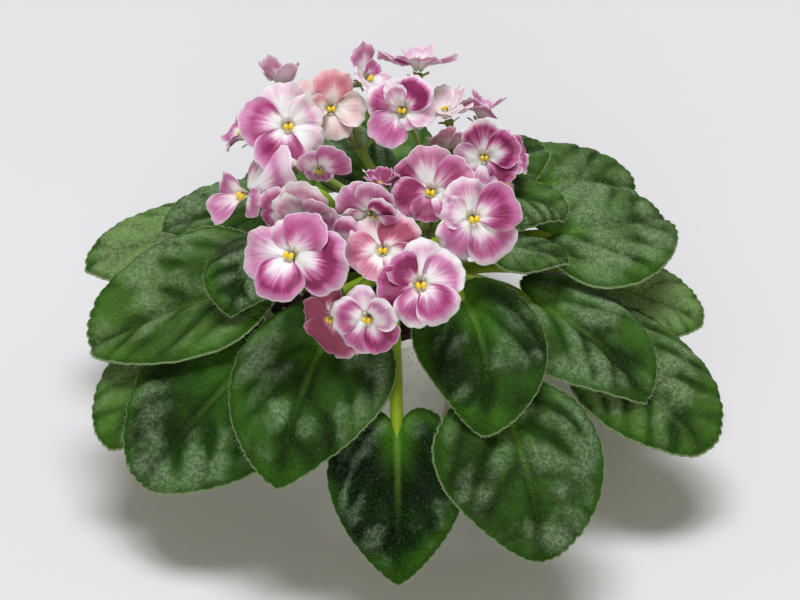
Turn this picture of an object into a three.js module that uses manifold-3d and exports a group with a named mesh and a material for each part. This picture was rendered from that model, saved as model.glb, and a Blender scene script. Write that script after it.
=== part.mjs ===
// A potted African violet: a plastic pot of soil, a leaning crown, a rosette of stalked leaves in three
// tiers, and branching flower stalks that hold a dome of five-lobed blooms.
// Millimetres and degrees. +Z is up, +X is to the viewer's right and -Y points at the viewer.
// The origin is the middle of the pot's flat base. Azimuths turn from +X towards +Y.
import * as THREE from "three";
import { mergeVertices } from "three/addons/utils/BufferGeometryUtils.js";
import Module from "manifold-3d";

const wasm = await Module();
wasm.setup();

// ---- driving dimensions ----
const GAP = 0.3; // what is left between two pieces that rest on each other
const POT = {
  height: 80, rimRadius: 50, baseRadius: 35, wall: 1.6, floor: 2.5,
  lipHeight: 11, lipWidth: 3.2, sides: 36, drains: 6, drainRadius: 2.4, drainCircle: 24,
};
const SOIL = { edgeHeight: 71, crest: 3.5 };
const CROWN = { radius: 9, foot: [9, 0, 62], head: [17, 0, 106], sides: 12, holeRadius: 10 };
const LEAF = {
  thickness: 1, segments: 22, rings: [0.55, 1], middle: 0.44, crenation: 0.03, pillow: 2.4, edgeFall: 3.2,
};
const STALK = { radius: 2.6, sides: 5, steps: 5, sunk: 0.22 };
const PETAL = { thickness: 0.8, perLobe: 4, plainBelow: 14, notch: 0.62 };
const THROAT = { depth: 3, radius: 3, anthers: 2.4 };
const SPRAY = { peduncle: 1.9, pedicel: 1.1, sides: 4, calyx: 3, calyxLength: 4, bud: 3.2, rootCircle: 5.5 };

const COLOURS = {
  pot: [0xe4e2dc, 0.45], soil: [0x2b211b, 0.95], crown: [0x77933a, 0.7], leaf: [0x2f5a25, 0.55],
  spray: [0x8a9a3c, 0.6], bloom: [0xe3a3cc, 0.55],
};

// One row a leaf: azimuth and height of its root on the crown; lengths of stalk and blade; the blade's width;
// the slope of its midrib at the root, at the blade's base and at the tip; how far it turns sideways towards
// its tip; how far the blade rolls about its midrib; how steeply its halves rise from the midrib; and how
// pointed it is.
const LEAVES = [
  // outer tier
  { name: "leaf_outer_front", az: -88, z: 79, stalk: 78, blade: 72, width: 58, slope: [15, -24, -49], turn: -2, roll: 0, fold: 0, point: 0.6 },
  { name: "leaf_outer_front_right", az: -57, z: 84, stalk: 80, blade: 76, width: 72, slope: [8, -16, -55], turn: -25, roll: 0, fold: 0, point: 0.3 },
  { name: "leaf_outer_right_front", az: -13, z: 85, stalk: 80, blade: 78, width: 68, slope: [3, -17, -40], turn: -40, roll: 2, fold: 0, point: 0 },
  { name: "leaf_outer_right", az: 10, z: 81, stalk: 84, blade: 58, width: 58, slope: [10, -18, -24], turn: -24, roll: 6, fold: 0, point: 0.3 },
  { name: "leaf_outer_right_back", az: 48, z: 86, stalk: 80, blade: 62, width: 66, slope: [12, -4, -28], turn: -36, roll: 10, fold: 0, point: 0 },
  { name: "leaf_outer_back_right", az: 70, z: 79, stalk: 70, blade: 62, width: 54, slope: [12, -4, -30], turn: 0, roll: 0, fold: 0, point: 0.4 },
  { name: "leaf_outer_back", az: 94, z: 86, stalk: 62, blade: 64, width: 54, slope: [18, 4, -6], turn: 4, roll: 0, fold: 0, point: 0.4 },
  { name: "leaf_outer_back_left", az: 118, z: 80, stalk: 66, blade: 62, width: 54, slope: [12, -4, -26], turn: 0, roll: 0, fold: 0, point: 0.4 },
  { name: "leaf_outer_left_back", az: 152, z: 86, stalk: 78, blade: 72, width: 62, slope: [6, -10, -26], turn: 40, roll: -8, fold: 0, point: 0.5 },
  { name: "leaf_outer_left_low", az: -168, z: 83, stalk: 74, blade: 75, width: 60, slope: [10, -20, -38], turn: 50, roll: 0, fold: 0, point: 0.3 },
  { name: "leaf_outer_front_left", az: -140, z: 87, stalk: 60, blade: 86, width: 80, slope: [8, -20, -42], turn: -2, roll: -14, fold: 0, point: 0.2 },
  // middle tier
  { name: "leaf_middle_left", az: -168, z: 94, stalk: 51, blade: 86, width: 70, slope: [2, -10, -28], turn: -3, roll: -14, fold: 0.3, point: 0.1 },
  { name: "leaf_middle_front_left", az: -120, z: 93, stalk: 42, blade: 84, width: 70, slope: [12, -10, -44], turn: 18, roll: 0, fold: 0, point: 0.5 },
  { name: "leaf_middle_front_right", az: -53, z: 101, stalk: 36, blade: 74, width: 56, slope: [12, -5, -40], turn: -54, roll: 0, fold: 0, point: 0.3 },
  { name: "leaf_middle_right_front", az: -18, z: 90, stalk: 50, blade: 76, width: 64, slope: [3, -8, -36], turn: -34, roll: 0, fold: 0, point: 0.5 },
  { name: "leaf_middle_right", az: 4, z: 94, stalk: 57, blade: 67, width: 70, slope: [12, 0, -14], turn: 32, roll: 10, fold: 0, point: 0 },
  { name: "leaf_middle_left_back", az: 147, z: 98, stalk: 47, blade: 64, width: 62, slope: [8, -4, -14], turn: 52, roll: -4, fold: 0, point: 0.6 },
  // inner tier
  { name: "leaf_inner_right_back", az: 58, z: 99, stalk: 46, blade: 46, width: 44, slope: [24, 4, -8], turn: -40, roll: 0, fold: 0, point: 0 },
  { name: "leaf_inner_right", az: 25, z: 103, stalk: 32, blade: 42, width: 40, slope: [28, 12, -34], turn: -50, roll: 0, fold: 0, point: 0.2 },
  { name: "leaf_inner_right_low", az: -14, z: 101, stalk: 34, blade: 36, width: 30, slope: [18, 4, -20], turn: 4, roll: -6, fold: 0, point: 0.2 },
  { name: "leaf_inner_left", az: -178, z: 101, stalk: 44, blade: 46, width: 46, slope: [16, 2, -40], turn: 84, roll: 0, fold: 0, point: 0.6 },
  { name: "leaf_inner_back", az: 112, z: 101, stalk: 24, blade: 46, width: 40, slope: [40, 24, 4], turn: 30, roll: 0, fold: 0, point: 0.4 },
];

// The blade's half outline, as shares of its length and of half its width, from the tip round to the notch
// where the stalk joins: once with a blunt tip and once with a pointed one.
const BLUNT = [[1, 0], [0.98, 0.24], [0.88, 0.54], [0.7, 0.83], [0.46, 1], [0.2, 0.94], [0.02, 0.6], [-0.03, 0.26], [0.07, 0]];
const POINTED = [[1, 0], [0.93, 0.15], [0.81, 0.42], [0.65, 0.72], [0.42, 0.97], [0.2, 0.96], [0.02, 0.62], [-0.03, 0.26], [0.07, 0]];

// One row a flower stalk: the azimuth of its root on top of the crown, the point where it forks, where its
// closed buds are, and its blooms.
// One row a bloom: where its throat is; the azimuth and elevation that its face looks to; its radius to the
// tips of the lower lobes; how deep it is cupped; how far it is spun about its axis; how far its lobes wave;
// and the size of its inner petals, if it has any.
const SPRAYS = [
  {
    name: "back_left", root: 150, fork: [-24, 16, 130],
    blooms: [
      { at: [-36, 38, 161], az: 100, el: 45, radius: 13, cup: 0.7, spin: 0, wave: 0.06, inner: 0 },
      { at: [-32, 12, 154], az: -72, el: 38, radius: 20, cup: 0.05, spin: 10, wave: 0.05, inner: 0 },
      { at: [-53, 28, 140], az: 170, el: 30, radius: 11, cup: 0.15, spin: 0, wave: 0.06, inner: 0 },
    ],
  },
  {
    name: "back", root: 100, fork: [-2, 26, 134],
    blooms: [
      { at: [-14, 28, 153], az: -80, el: 40, radius: 15, cup: 0.1, spin: 0, wave: 0.12, inner: 0.5 },
      { at: [2, 40, 161], az: -30, el: 40, radius: 13, cup: 0.5, spin: 0, wave: 0.06, inner: 0 },
      { at: [24, 46, 164], az: 90, el: 50, radius: 18, cup: 0.3, spin: 0, wave: 0.06, inner: 0 },
    ],
  },
  {
    name: "back_right", root: 55, fork: [28, 24, 130],
    blooms: [
      { at: [17, 18, 158], az: -100, el: 45, radius: 16, cup: 0.1, spin: 0, wave: 0.06, inner: 0.5 },
      { at: [36, 30, 150], az: 120, el: 55, radius: 14, cup: 0.5, spin: 0, wave: 0.06, inner: 0 },
      { at: [52, 42, 142], az: 70, el: 35, radius: 13, cup: 0.5, spin: 0, wave: 0.08, inner: 0 },
    ],
  },
  {
    name: "right", root: -10, fork: [41, 7, 124], buds: [[61, -5, 133]],
    blooms: [
      { at: [52, 6, 142], az: -90, el: 35, radius: 14, cup: 0.4, spin: 0, wave: 0.05, inner: 0 },
      { at: [64, 22, 134], az: -10, el: 40, radius: 12, cup: 0.2, spin: 0, wave: 0.06, inner: 0 },
      { at: [38, 16, 141], az: 100, el: 30, radius: 11, cup: 0.1, spin: 0, wave: 0.14, inner: 0 },
      { at: [60, 36, 128], az: 60, el: 50, radius: 14, cup: 0.1, spin: 0, wave: 0.08, inner: 0 },
    ],
  },
  {
    name: "front_right", root: -48, fork: [30, -18, 120],
    blooms: [
      { at: [46, -34, 138], az: -75, el: 35, radius: 19, cup: 0.08, spin: 0, wave: 0.05, inner: 0 },
      { at: [29, -16, 139], az: -100, el: 40, radius: 17, cup: 0.3, spin: 0, wave: 0.05, inner: 0.5 },
      { at: [24, -65, 127], az: -80, el: 40, radius: 18.5, cup: 0.08, spin: 0, wave: 0.05, inner: 0.5 },
    ],
  },
  {
    name: "front", root: -92, fork: [10, -24, 117],
    blooms: [
      { at: [4, -36, 141], az: -95, el: 0, radius: 14, cup: 0.2, spin: 0, wave: 0.06, inner: 0 },
      { at: [7, -16, 142], az: 80, el: 60, radius: 10, cup: 0.3, spin: 0, wave: 0.06, inner: 0 },
      { at: [9, -50, 133], az: -90, el: 50, radius: 16, cup: 0.1, spin: 0, wave: 0.12, inner: 0.5 },
      { at: [3, -74, 117], az: -105, el: 20, radius: 15.5, cup: 0.12, spin: 0, wave: 0.06, inner: 0 },
    ],
  },
  {
    name: "front_left", root: -135, fork: [-13, -33, 111],
    blooms: [
      { at: [-12, -62, 108], az: -120, el: 10, radius: 15, cup: 0.1, spin: 0, wave: 0.06, inner: 0 },
      { at: [-28, -56, 135], az: -115, el: 45, radius: 22, cup: 0.05, spin: 0, wave: 0.06, inner: 0 },
      { at: [-9, -43, 133], az: -100, el: 20, radius: 12, cup: 0.1, spin: 0, wave: 0.06, inner: 0 },
    ],
  },
  {
    name: "left", root: -170, fork: [-26, -4, 118], buds: [[-30, -4, 144]],
    blooms: [
      { at: [-22, -31, 134], az: -110, el: 0, radius: 14, cup: 0.2, spin: 0, wave: 0.05, inner: 0 },
      { at: [-50, -6, 131], az: -150, el: 15, radius: 18, cup: 0.1, spin: 0, wave: 0.06, inner: 0 },
      { at: [-18, -10, 146], az: -90, el: 10, radius: 11, cup: 0.4, spin: 0, wave: 0.05, inner: 0 },
      { at: [-34, -20, 129], az: -110, el: 10, radius: 10, cup: 0.1, spin: 0, wave: 0.05, inner: 0 },
    ],
  },
];

// ---- from three.js meshes to solids and back ----

function solidOf(geometry) {
  const bare = new THREE.BufferGeometry().setAttribute("position", geometry.getAttribute("position"));
  if (geometry.index) bare.setIndex(geometry.index);
  const merged = mergeVertices(bare, 1e-4);
  return new wasm.Manifold(
    new wasm.Mesh({
      numProp: 3,
      vertProperties: new Float32Array(merged.getAttribute("position").array),
      triVerts: new Uint32Array(merged.index.array),
    }),
  );
}

function fused(...geometries) {
  return geometries.map(solidOf).reduce((whole, piece) => whole.add(piece));
}

function meshOf(name, solid, [colour, roughness]) {
  const made = solid.getMesh();
  const geometry = new THREE.BufferGeometry()
    .setAttribute("position", new THREE.BufferAttribute(new Float32Array(made.vertProperties), 3))
    .setIndex(new THREE.BufferAttribute(new Uint32Array(made.triVerts), 1));
  geometry.computeVertexNormals();
  const material = new THREE.MeshStandardMaterial({ color: colour, roughness, metalness: 0, flatShading: true });
  const mesh = new THREE.Mesh(geometry, material);
  mesh.name = name;
  return mesh;
}

// ---- shared shapes ----

const degrees = THREE.MathUtils.degToRad;

function direction(az, el) {
  const [a, e] = [degrees(az), degrees(el)];
  return new THREE.Vector3(Math.cos(e) * Math.cos(a), Math.cos(e) * Math.sin(a), Math.sin(e));
}

// A tube of one radius along a smooth curve through some points.
function tube(points, radius, sides, steps) {
  const section = new THREE.Shape();
  for (let k = 0; k < sides; k++) {
    const turn = (2 * Math.PI * (k + 0.5)) / sides;
    section[k ? "lineTo" : "moveTo"](radius * Math.cos(turn), radius * Math.sin(turn));
  }
  const extrudePath = new THREE.CatmullRomCurve3(points);
  return new THREE.ExtrudeGeometry(section, { steps, extrudePath });
}

// A thin closed blade on a polar grid. place(share, k, side) gives the point that lies at that share of the
// way from the middle to the outline's k-th point, on the upper face (side 1) or the lower one (side -1). Both faces
// are split into triangles alike, so that they never cross however much the blade waves.
function blade(segments, rings, place) {
  const points = [];
  const faces = [];
  const perFace = 1 + rings.length * segments;
  for (const side of [1, -1]) {
    points.push(place(0, 0, side));
    for (const share of rings)
      for (let k = 0; k < segments; k++) points.push(place(share, k, side));
  }
  const at = (face, ring, k) => face * perFace + 1 + ring * segments + (k % segments);
  const add = (face, a, b, c) => faces.push(...(face ? [a, c, b] : [a, b, c]));
  const last = rings.length - 1;
  for (let k = 0; k < segments; k++) {
    for (const face of [0, 1]) {
      add(face, face * perFace, at(face, 0, k), at(face, 0, k + 1));
      for (let ring = 0; ring < last; ring++) {
        const [a, b] = [at(face, ring, k), at(face, ring, k + 1)];
        const [c, d] = [at(face, ring + 1, k), at(face, ring + 1, k + 1)];
        add(face, a, c, d);
        add(face, a, d, b);
      }
    }
    faces.push(at(0, last, k), at(1, last, k), at(1, last, k + 1));
    faces.push(at(0, last, k), at(1, last, k + 1), at(0, last, k + 1));
  }
  const geometry = new THREE.BufferGeometry().setFromPoints(points);
  geometry.setIndex(faces);
  return geometry;
}

// ---- the pot and its soil ----

function lathe(profile, sides) {
  const points = profile.map(([r, z]) => new THREE.Vector2(r, z));
  return new THREE.LatheGeometry(points, sides).rotateX(Math.PI / 2);
}

const wallTop = POT.rimRadius - POT.lipWidth; // the body's outer radius right under the lip
const lipFoot = POT.height - POT.lipHeight;
const innerRadius = (z) =>
  POT.baseRadius - POT.wall + ((wallTop - POT.baseRadius) * z) / POT.height;

function pot() {
  const body = solidOf(
    lathe(
      [
        [0, 0], [POT.baseRadius, 0], [wallTop - 0.6, lipFoot], [POT.rimRadius - 1, lipFoot],
        [POT.rimRadius, lipFoot + 1.5], [POT.rimRadius, POT.height - 1], [POT.rimRadius - 0.8, POT.height],
        [innerRadius(POT.height), POT.height], [innerRadius(POT.floor), POT.floor], [0, POT.floor],
      ],
      POT.sides,
    ),
  );
  let holes = body;
  for (let k = 0; k < POT.drains; k++) {
    const drain = new THREE.CylinderGeometry(POT.drainRadius, POT.drainRadius, 3 * POT.floor, 8);
    drain.rotateX(Math.PI / 2).translate(POT.drainCircle, 0, 0);
    drain.rotateZ((2 * Math.PI * k) / POT.drains);
    holes = holes.subtract(solidOf(drain));
  }
  return meshOf("pot", holes, COLOURS.pot);
}

function soil() {
  const mound = solidOf(
    lathe(
      [
        [0, POT.floor + GAP], [innerRadius(POT.floor) - GAP, POT.floor + GAP],
        [innerRadius(SOIL.edgeHeight) - GAP, SOIL.edgeHeight],
        [0.6 * wallTop, SOIL.edgeHeight + 0.75 * SOIL.crest], [0, SOIL.edgeHeight + SOIL.crest],
      ],
      POT.sides,
    ),
  );
  return meshOf("soil", mound.subtract(crownSolid(GAP)), COLOURS.soil);
}

// ---- the crown ----

const crownAxis = (z) => {
  const [x0, y0, z0] = CROWN.foot;
  const [x1, y1, z1] = CROWN.head;
  const share = (z - z0) / (z1 - z0);
  return new THREE.Vector3(x0 + (x1 - x0) * share, y0 + (y1 - y0) * share, z);
};

function crownSolid(grown = 0) {
  const radius = CROWN.radius + grown;
  const foot = new THREE.Vector3(...CROWN.foot);
  const head = new THREE.Vector3(...CROWN.head);
  const along = head.clone().sub(foot).normalize();
  const geometry = new THREE.CylinderGeometry(0.9 * radius, radius, head.distanceTo(foot) + 2 * grown, CROWN.sides);
  geometry.applyQuaternion(new THREE.Quaternion().setFromUnitVectors(new THREE.Vector3(0, 1, 0), along));
  const middle = foot.add(head).multiplyScalar(0.5);
  geometry.translate(middle.x, middle.y, middle.z);
  return solidOf(geometry);
}

// ---- leaves ----

// The midrib, from the root on the crown to the tip: its heading swings evenly from one slope to the next.
function midrib(leaf) {
  const total = leaf.stalk + leaf.blade;
  const [root, base, tip] = leaf.slope;
  const position = crownAxis(leaf.z).addScaledVector(direction(leaf.az, 0), 0.7 * CROWN.radius);
  const steps = 60;
  const stations = [];
  for (let k = 0; k <= steps; k++) {
    const length = (total * k) / steps;
    const inStalk = Math.min(1, length / leaf.stalk);
    const inBlade = Math.max(0, (length - leaf.stalk) / leaf.blade);
    const slope = root + (base - root) * inStalk + (tip - base) * inBlade;
    const azimuth = leaf.az + leaf.turn * (length / total) ** 1.5;
    const heading = direction(azimuth, slope);
    stations.push({ length, position: position.clone(), heading, azimuth });
    position.addScaledVector(heading, total / steps);
  }
  return (length) => {
    const place = Math.min(Math.max(length / total, 0), 1) * steps;
    const k = Math.min(Math.floor(place), steps - 1);
    const share = place - k;
    const [a, b] = [stations[k], stations[k + 1]];
    const heading = a.heading.clone().lerp(b.heading, share).normalize();
    const roll = degrees(leaf.roll) * Math.min(1, Math.max(0, length / leaf.stalk - 0.5) * 2);
    const left = direction(a.azimuth + 90, 0).applyAxisAngle(heading, roll);
    const up = heading.clone().cross(left).normalize();
    return { position: a.position.clone().lerp(b.position, share), heading, left, up };
  };
}

// The blade's outline, starting at its tip, with every other point set back to notch the edge.
function leafOutline(leaf) {
  const half = new THREE.SplineCurve(
    BLUNT.map(([along, across], k) =>
      new THREE.Vector2(along, across).lerp(new THREE.Vector2(...POINTED[k]), leaf.point)),
  ).getSpacedPoints(LEAF.segments / 2);
  const points = [];
  for (let k = 0; k < LEAF.segments; k++) {
    const mirrored = k > LEAF.segments / 2;
    const { x, y } = half[mirrored ? LEAF.segments - k : k];
    const reach = 1 - LEAF.crenation * (k % 2);
    const along = LEAF.middle + (x - LEAF.middle) * reach;
    points.push({ along: along * leaf.blade, across: ((mirrored ? -1 : 1) * y * reach * leaf.width) / 2 });
  }
  return points;
}

function leafMesh(leaf) {
  const path = midrib(leaf);
  const outline = leafOutline(leaf);
  const middle = LEAF.middle * leaf.blade;
  const place = (share, k, side) => {
    const along = middle + (outline[k].along - middle) * share;
    const across = outline[k].across * share;
    const { position, left, up } = path(leaf.stalk + along);
    const q = Math.abs(across) / (leaf.width / 2);
    let lift = LEAF.pillow * Math.sin(Math.PI * Math.min(q, 1)) - LEAF.edgeFall * q * q;
    lift += leaf.fold * Math.abs(across);
    return position.addScaledVector(left, across).addScaledVector(up, lift + (side * LEAF.thickness) / 2);
  };
  const stalkPoints = [];
  const reach = leaf.stalk + STALK.sunk * leaf.blade;
  for (let k = 0; k <= STALK.steps; k++) {
    const length = (reach * k) / STALK.steps;
    const { position, up } = path(length);
    const under = Math.min(1, Math.max(0, (length - leaf.stalk) / (reach - leaf.stalk) + 0.3));
    stalkPoints.push(position.addScaledVector(up, -0.75 * STALK.radius * under));
  }
  const stalk = tube(stalkPoints, STALK.radius, STALK.sides, STALK.steps);
  const whole = fused(blade(LEAF.segments, LEAF.rings, place), stalk).subtract(crownSolid(GAP));
  return meshOf(leaf.name, whole, COLOURS.leaf);
}

// ---- blooms and their sprays ----

// How long each lobe is, from the upper right one round to the upper left one.
const LOBES = [0.84, 0.98, 1, 0.98, 0.84];

// How far the lobed edge lies from the throat at its k-th point, as a share of the flower's radius.
function petalReach(k, lobes) {
  const off = Math.abs((2 * (k % PETAL.perLobe)) / PETAL.perLobe - 1);
  const size = lobes === LOBES.length ? LOBES[Math.floor(k / PETAL.perLobe)] : 1;
  return size * (PETAL.notch + (1 - PETAL.notch) * Math.sqrt(1 - off ** 3));
}

function bloomFrame(bloom) {
  const face = direction(bloom.az, bloom.el);
  const up = new THREE.Vector3(0, 0, 1).addScaledVector(face, -face.z).normalize();
  up.applyAxisAngle(face, degrees(bloom.spin));
  return { face, up, side: face.clone().cross(up), throat: new THREE.Vector3(...bloom.at) };
}

// One layer of petals, cupped and waved. Its middle is raised in front to hold the anthers, and drawn back
// into the throat behind.
function petals({ face, up, side, throat }, lobes, radius, cup, wave, twist) {
  const segments = lobes * PETAL.perLobe;
  const rings = radius < PETAL.plainBelow ? [THROAT.radius / radius, 1] : [THROAT.radius / radius, 0.6, 1];
  const place = (share, k, layer) => {
    const turn = (2 * Math.PI * k) / segments + twist;
    const reach = petalReach(k, lobes) * share * radius;
    const middle = layer > 0 ? THROAT.anthers : -THROAT.depth;
    const forward = share
      ? radius * share ** 2 * (cup + wave * Math.cos(3 * turn + radius)) + (layer * PETAL.thickness) / 2
      : middle;
    return throat.clone()
      .addScaledVector(side, reach * Math.sin(turn))
      .addScaledVector(up, reach * Math.cos(turn))
      .addScaledVector(face, forward);
  };
  return blade(segments, rings, place);
}

function bloomMesh(name, bloom) {
  const frame = bloomFrame(bloom);
  const layers = [petals(frame, LOBES.length, bloom.radius, bloom.cup, bloom.wave, 0)];
  if (bloom.inner) layers.push(petals(frame, 3, bloom.inner * bloom.radius, 0.75, bloom.wave, 0.6));
  return meshOf(name, fused(...layers), COLOURS.bloom);
}

function sprayMesh(spray) {
  const root = new THREE.Vector3(...CROWN.head).addScaledVector(direction(spray.root, 0), SPRAY.rootCircle);
  root.z -= 2;
  const fork = new THREE.Vector3(...spray.fork);
  const rise = root.clone().lerp(fork, 0.45).add(new THREE.Vector3(0, 0, 4));
  const pieces = [tube([root, rise, fork], SPRAY.peduncle, SPRAY.sides + 1, 4)];
  const start = fork.clone().addScaledVector(fork.clone().sub(rise).normalize(), -2);
  for (const bloom of spray.blooms) {
    const { face, throat } = bloomFrame(bloom);
    const seat = throat.clone().addScaledVector(face, -THROAT.depth - GAP);
    const calyx = new THREE.ConeGeometry(SPRAY.calyx, SPRAY.calyxLength, 5).rotateX(Math.PI);
    calyx.translate(0, -SPRAY.calyxLength / 2, 0);
    calyx.applyQuaternion(new THREE.Quaternion().setFromUnitVectors(new THREE.Vector3(0, 1, 0), face));
    calyx.translate(seat.x, seat.y, seat.z);
    const neck = seat.clone().addScaledVector(face, -0.5 * SPRAY.calyxLength);
    const behind = seat.clone().addScaledVector(face, -2.4 * SPRAY.calyxLength);
    pieces.push(tube([start, fork.clone().lerp(behind, 0.6), behind, neck], SPRAY.pedicel, SPRAY.sides, 4), calyx);
  }
  for (const place of spray.buds ?? []) {
    const bud = new THREE.Vector3(...place);
    const below = bud.clone().add(new THREE.Vector3(0, 0, -SPRAY.bud));
    const middle = start.clone().lerp(below, 0.6).add(new THREE.Vector3(0, 0, -2));
    pieces.push(tube([start, middle, bud], SPRAY.pedicel, SPRAY.sides, 4));
    pieces.push(new THREE.IcosahedronGeometry(SPRAY.bud).scale(1, 1, 1.25).translate(...place));
  }
  return meshOf(`spray_${spray.name}`, fused(...pieces).subtract(crownSolid(GAP)), COLOURS.spray);
}

// ---- the whole plant ----

const plant = new THREE.Group();
plant.add(pot(), soil(), meshOf("crown", crownSolid(), COLOURS.crown));
for (const leaf of LEAVES) plant.add(leafMesh(leaf));
for (const spray of SPRAYS) {
  plant.add(sprayMesh(spray));
  spray.blooms.forEach((bloom, k) => plant.add(bloomMesh(`bloom_${spray.name}_${k + 1}`, bloom)));
}

export default plant;
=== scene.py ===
# %% [markdown]
# # A potted African violet
# This notebook dresses a plain model of a houseplant: a white plastic pot of soil, a leaning crown, a
# rosette of velvety leaves, and a dome of pink and white blooms on branching stalks.
# The plain model gives every piece its place. Here each piece is built again with a fine surface, a
# finish and hairs. All sizes are written in millimetres, because that is how a grower would measure them.

import math
from collections import namedtuple

import bpy
import numpy as np
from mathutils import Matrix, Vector


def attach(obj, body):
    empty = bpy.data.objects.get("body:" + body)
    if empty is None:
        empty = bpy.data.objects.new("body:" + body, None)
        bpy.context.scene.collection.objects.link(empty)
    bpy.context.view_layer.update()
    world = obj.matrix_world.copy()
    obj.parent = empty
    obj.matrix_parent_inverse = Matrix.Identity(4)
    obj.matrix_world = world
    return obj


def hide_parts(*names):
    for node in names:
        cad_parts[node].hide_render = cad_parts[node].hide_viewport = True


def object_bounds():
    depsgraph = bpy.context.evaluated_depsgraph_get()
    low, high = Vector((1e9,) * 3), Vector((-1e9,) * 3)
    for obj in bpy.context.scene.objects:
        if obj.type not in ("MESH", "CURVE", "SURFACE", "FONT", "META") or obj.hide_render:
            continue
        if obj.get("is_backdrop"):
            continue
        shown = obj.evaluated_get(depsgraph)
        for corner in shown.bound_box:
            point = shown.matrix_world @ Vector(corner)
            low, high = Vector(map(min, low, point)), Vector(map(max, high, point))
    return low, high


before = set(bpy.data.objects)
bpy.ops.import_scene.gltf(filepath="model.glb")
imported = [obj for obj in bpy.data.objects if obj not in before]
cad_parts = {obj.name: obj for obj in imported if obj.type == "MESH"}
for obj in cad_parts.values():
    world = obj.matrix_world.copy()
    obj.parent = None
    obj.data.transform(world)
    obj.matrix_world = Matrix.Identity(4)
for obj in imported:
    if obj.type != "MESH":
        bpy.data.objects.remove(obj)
cad_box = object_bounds()
MM = 0.001
METRE = 1000
print("plain nodes:", len(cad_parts))

# %% [markdown]
# ## The camera
# The picture looks down on the plant at about 37 degrees through a short telephoto lens. A camera can be
# aimed with a constraint or by hand. Aiming it once from two points keeps its place easy to read.

# %% Aim the camera
LOOKS_AT = Vector((0.016, -0.013, 0.080))
LOOKS_DOWN = math.radians(37)
STANDS_OFF = 0.83
LENS = 85

sight = Vector((0, math.cos(LOOKS_DOWN), -math.sin(LOOKS_DOWN)))
lens = bpy.data.cameras.new("camera")
lens.lens = LENS
camera = bpy.data.objects.new("camera", lens)
camera.location = LOOKS_AT - STANDS_OFF * sight
camera.rotation_euler = sight.to_track_quat("-Z", "Y").to_euler()
bpy.context.scene.collection.objects.link(camera)
bpy.context.scene.camera = camera
print("camera at", [round(c, 3) for c in camera.location])

# %% [markdown]
# ## Helpers for shader maths
# A finish is a small network of nodes. Wrapping a socket in a class that knows plus, minus and times lets
# the network be written as sums, so that a formula on the page is the formula in the material.

# %% A socket that can be added and multiplied
class Wire:
    """One output socket of a finish, for use in sums."""

    def __init__(self, finish, socket):
        self.finish = finish
        self.socket = socket

    def _sum(self, operation, *values):
        return self.finish.add("ShaderNodeMath", {"operation": operation}, dict(enumerate(values)))

    def __add__(self, other):
        return self._sum("ADD", self, other)

    def __radd__(self, other):
        return self._sum("ADD", other, self)

    def __sub__(self, other):
        return self._sum("SUBTRACT", self, other)

    def __rsub__(self, other):
        return self._sum("SUBTRACT", other, self)

    def __mul__(self, other):
        return self._sum("MULTIPLY", self, other)

    def __rmul__(self, other):
        return self._sum("MULTIPLY", other, self)

    def __abs__(self):
        return self._sum("ABSOLUTE", self)

    def sine(self):
        return self._sum("SINE", self)

    def largest(self, other):
        return self._sum("MAXIMUM", self, other)


print("ways to reckon with a socket:", len([name for name in vars(Wire) if name != "__init__"]))

# %% [markdown]
# Colours are written as a paint chart gives them, three numbers up to 255, and each has a plain name.
# Shaders reckon in linear light instead, so a colour is turned into that when a node asks for it.

# %% Colours by name
CHART_FULL = 255
DARK_LIMIT = 0.04045
DARK_SLOPE = 12.92
CURVE_OFFSET = 0.055
CURVE_POWER = 2.4
SHADES = {"mid_grey": (128, 128, 128)}


def paint(colour):
    """The linear light of a named shade. A wire carries such light already and is passed on."""
    if isinstance(colour, Wire):
        return colour
    shares = np.array(SHADES[colour]) / CHART_FULL
    curved = ((shares + CURVE_OFFSET) / (1 + CURVE_OFFSET)) ** CURVE_POWER
    return (*np.where(shares <= DARK_LIMIT, shares / DARK_SLOPE, curved).tolist(), 1.0)


print("mid grey in linear light:", round(paint("mid_grey")[0], 3))

# %% [markdown]
# A finish is one material with one shader. Each of its methods adds one kind of node, so that the
# finishes below read as a list of what is laid over what.

# %% A finish
# Where a Mix node takes its two colours, and where it gives the mixed one.
FIRST_COLOUR = 6
SECOND_COLOUR = 7
MIXED_COLOUR = 2


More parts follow.
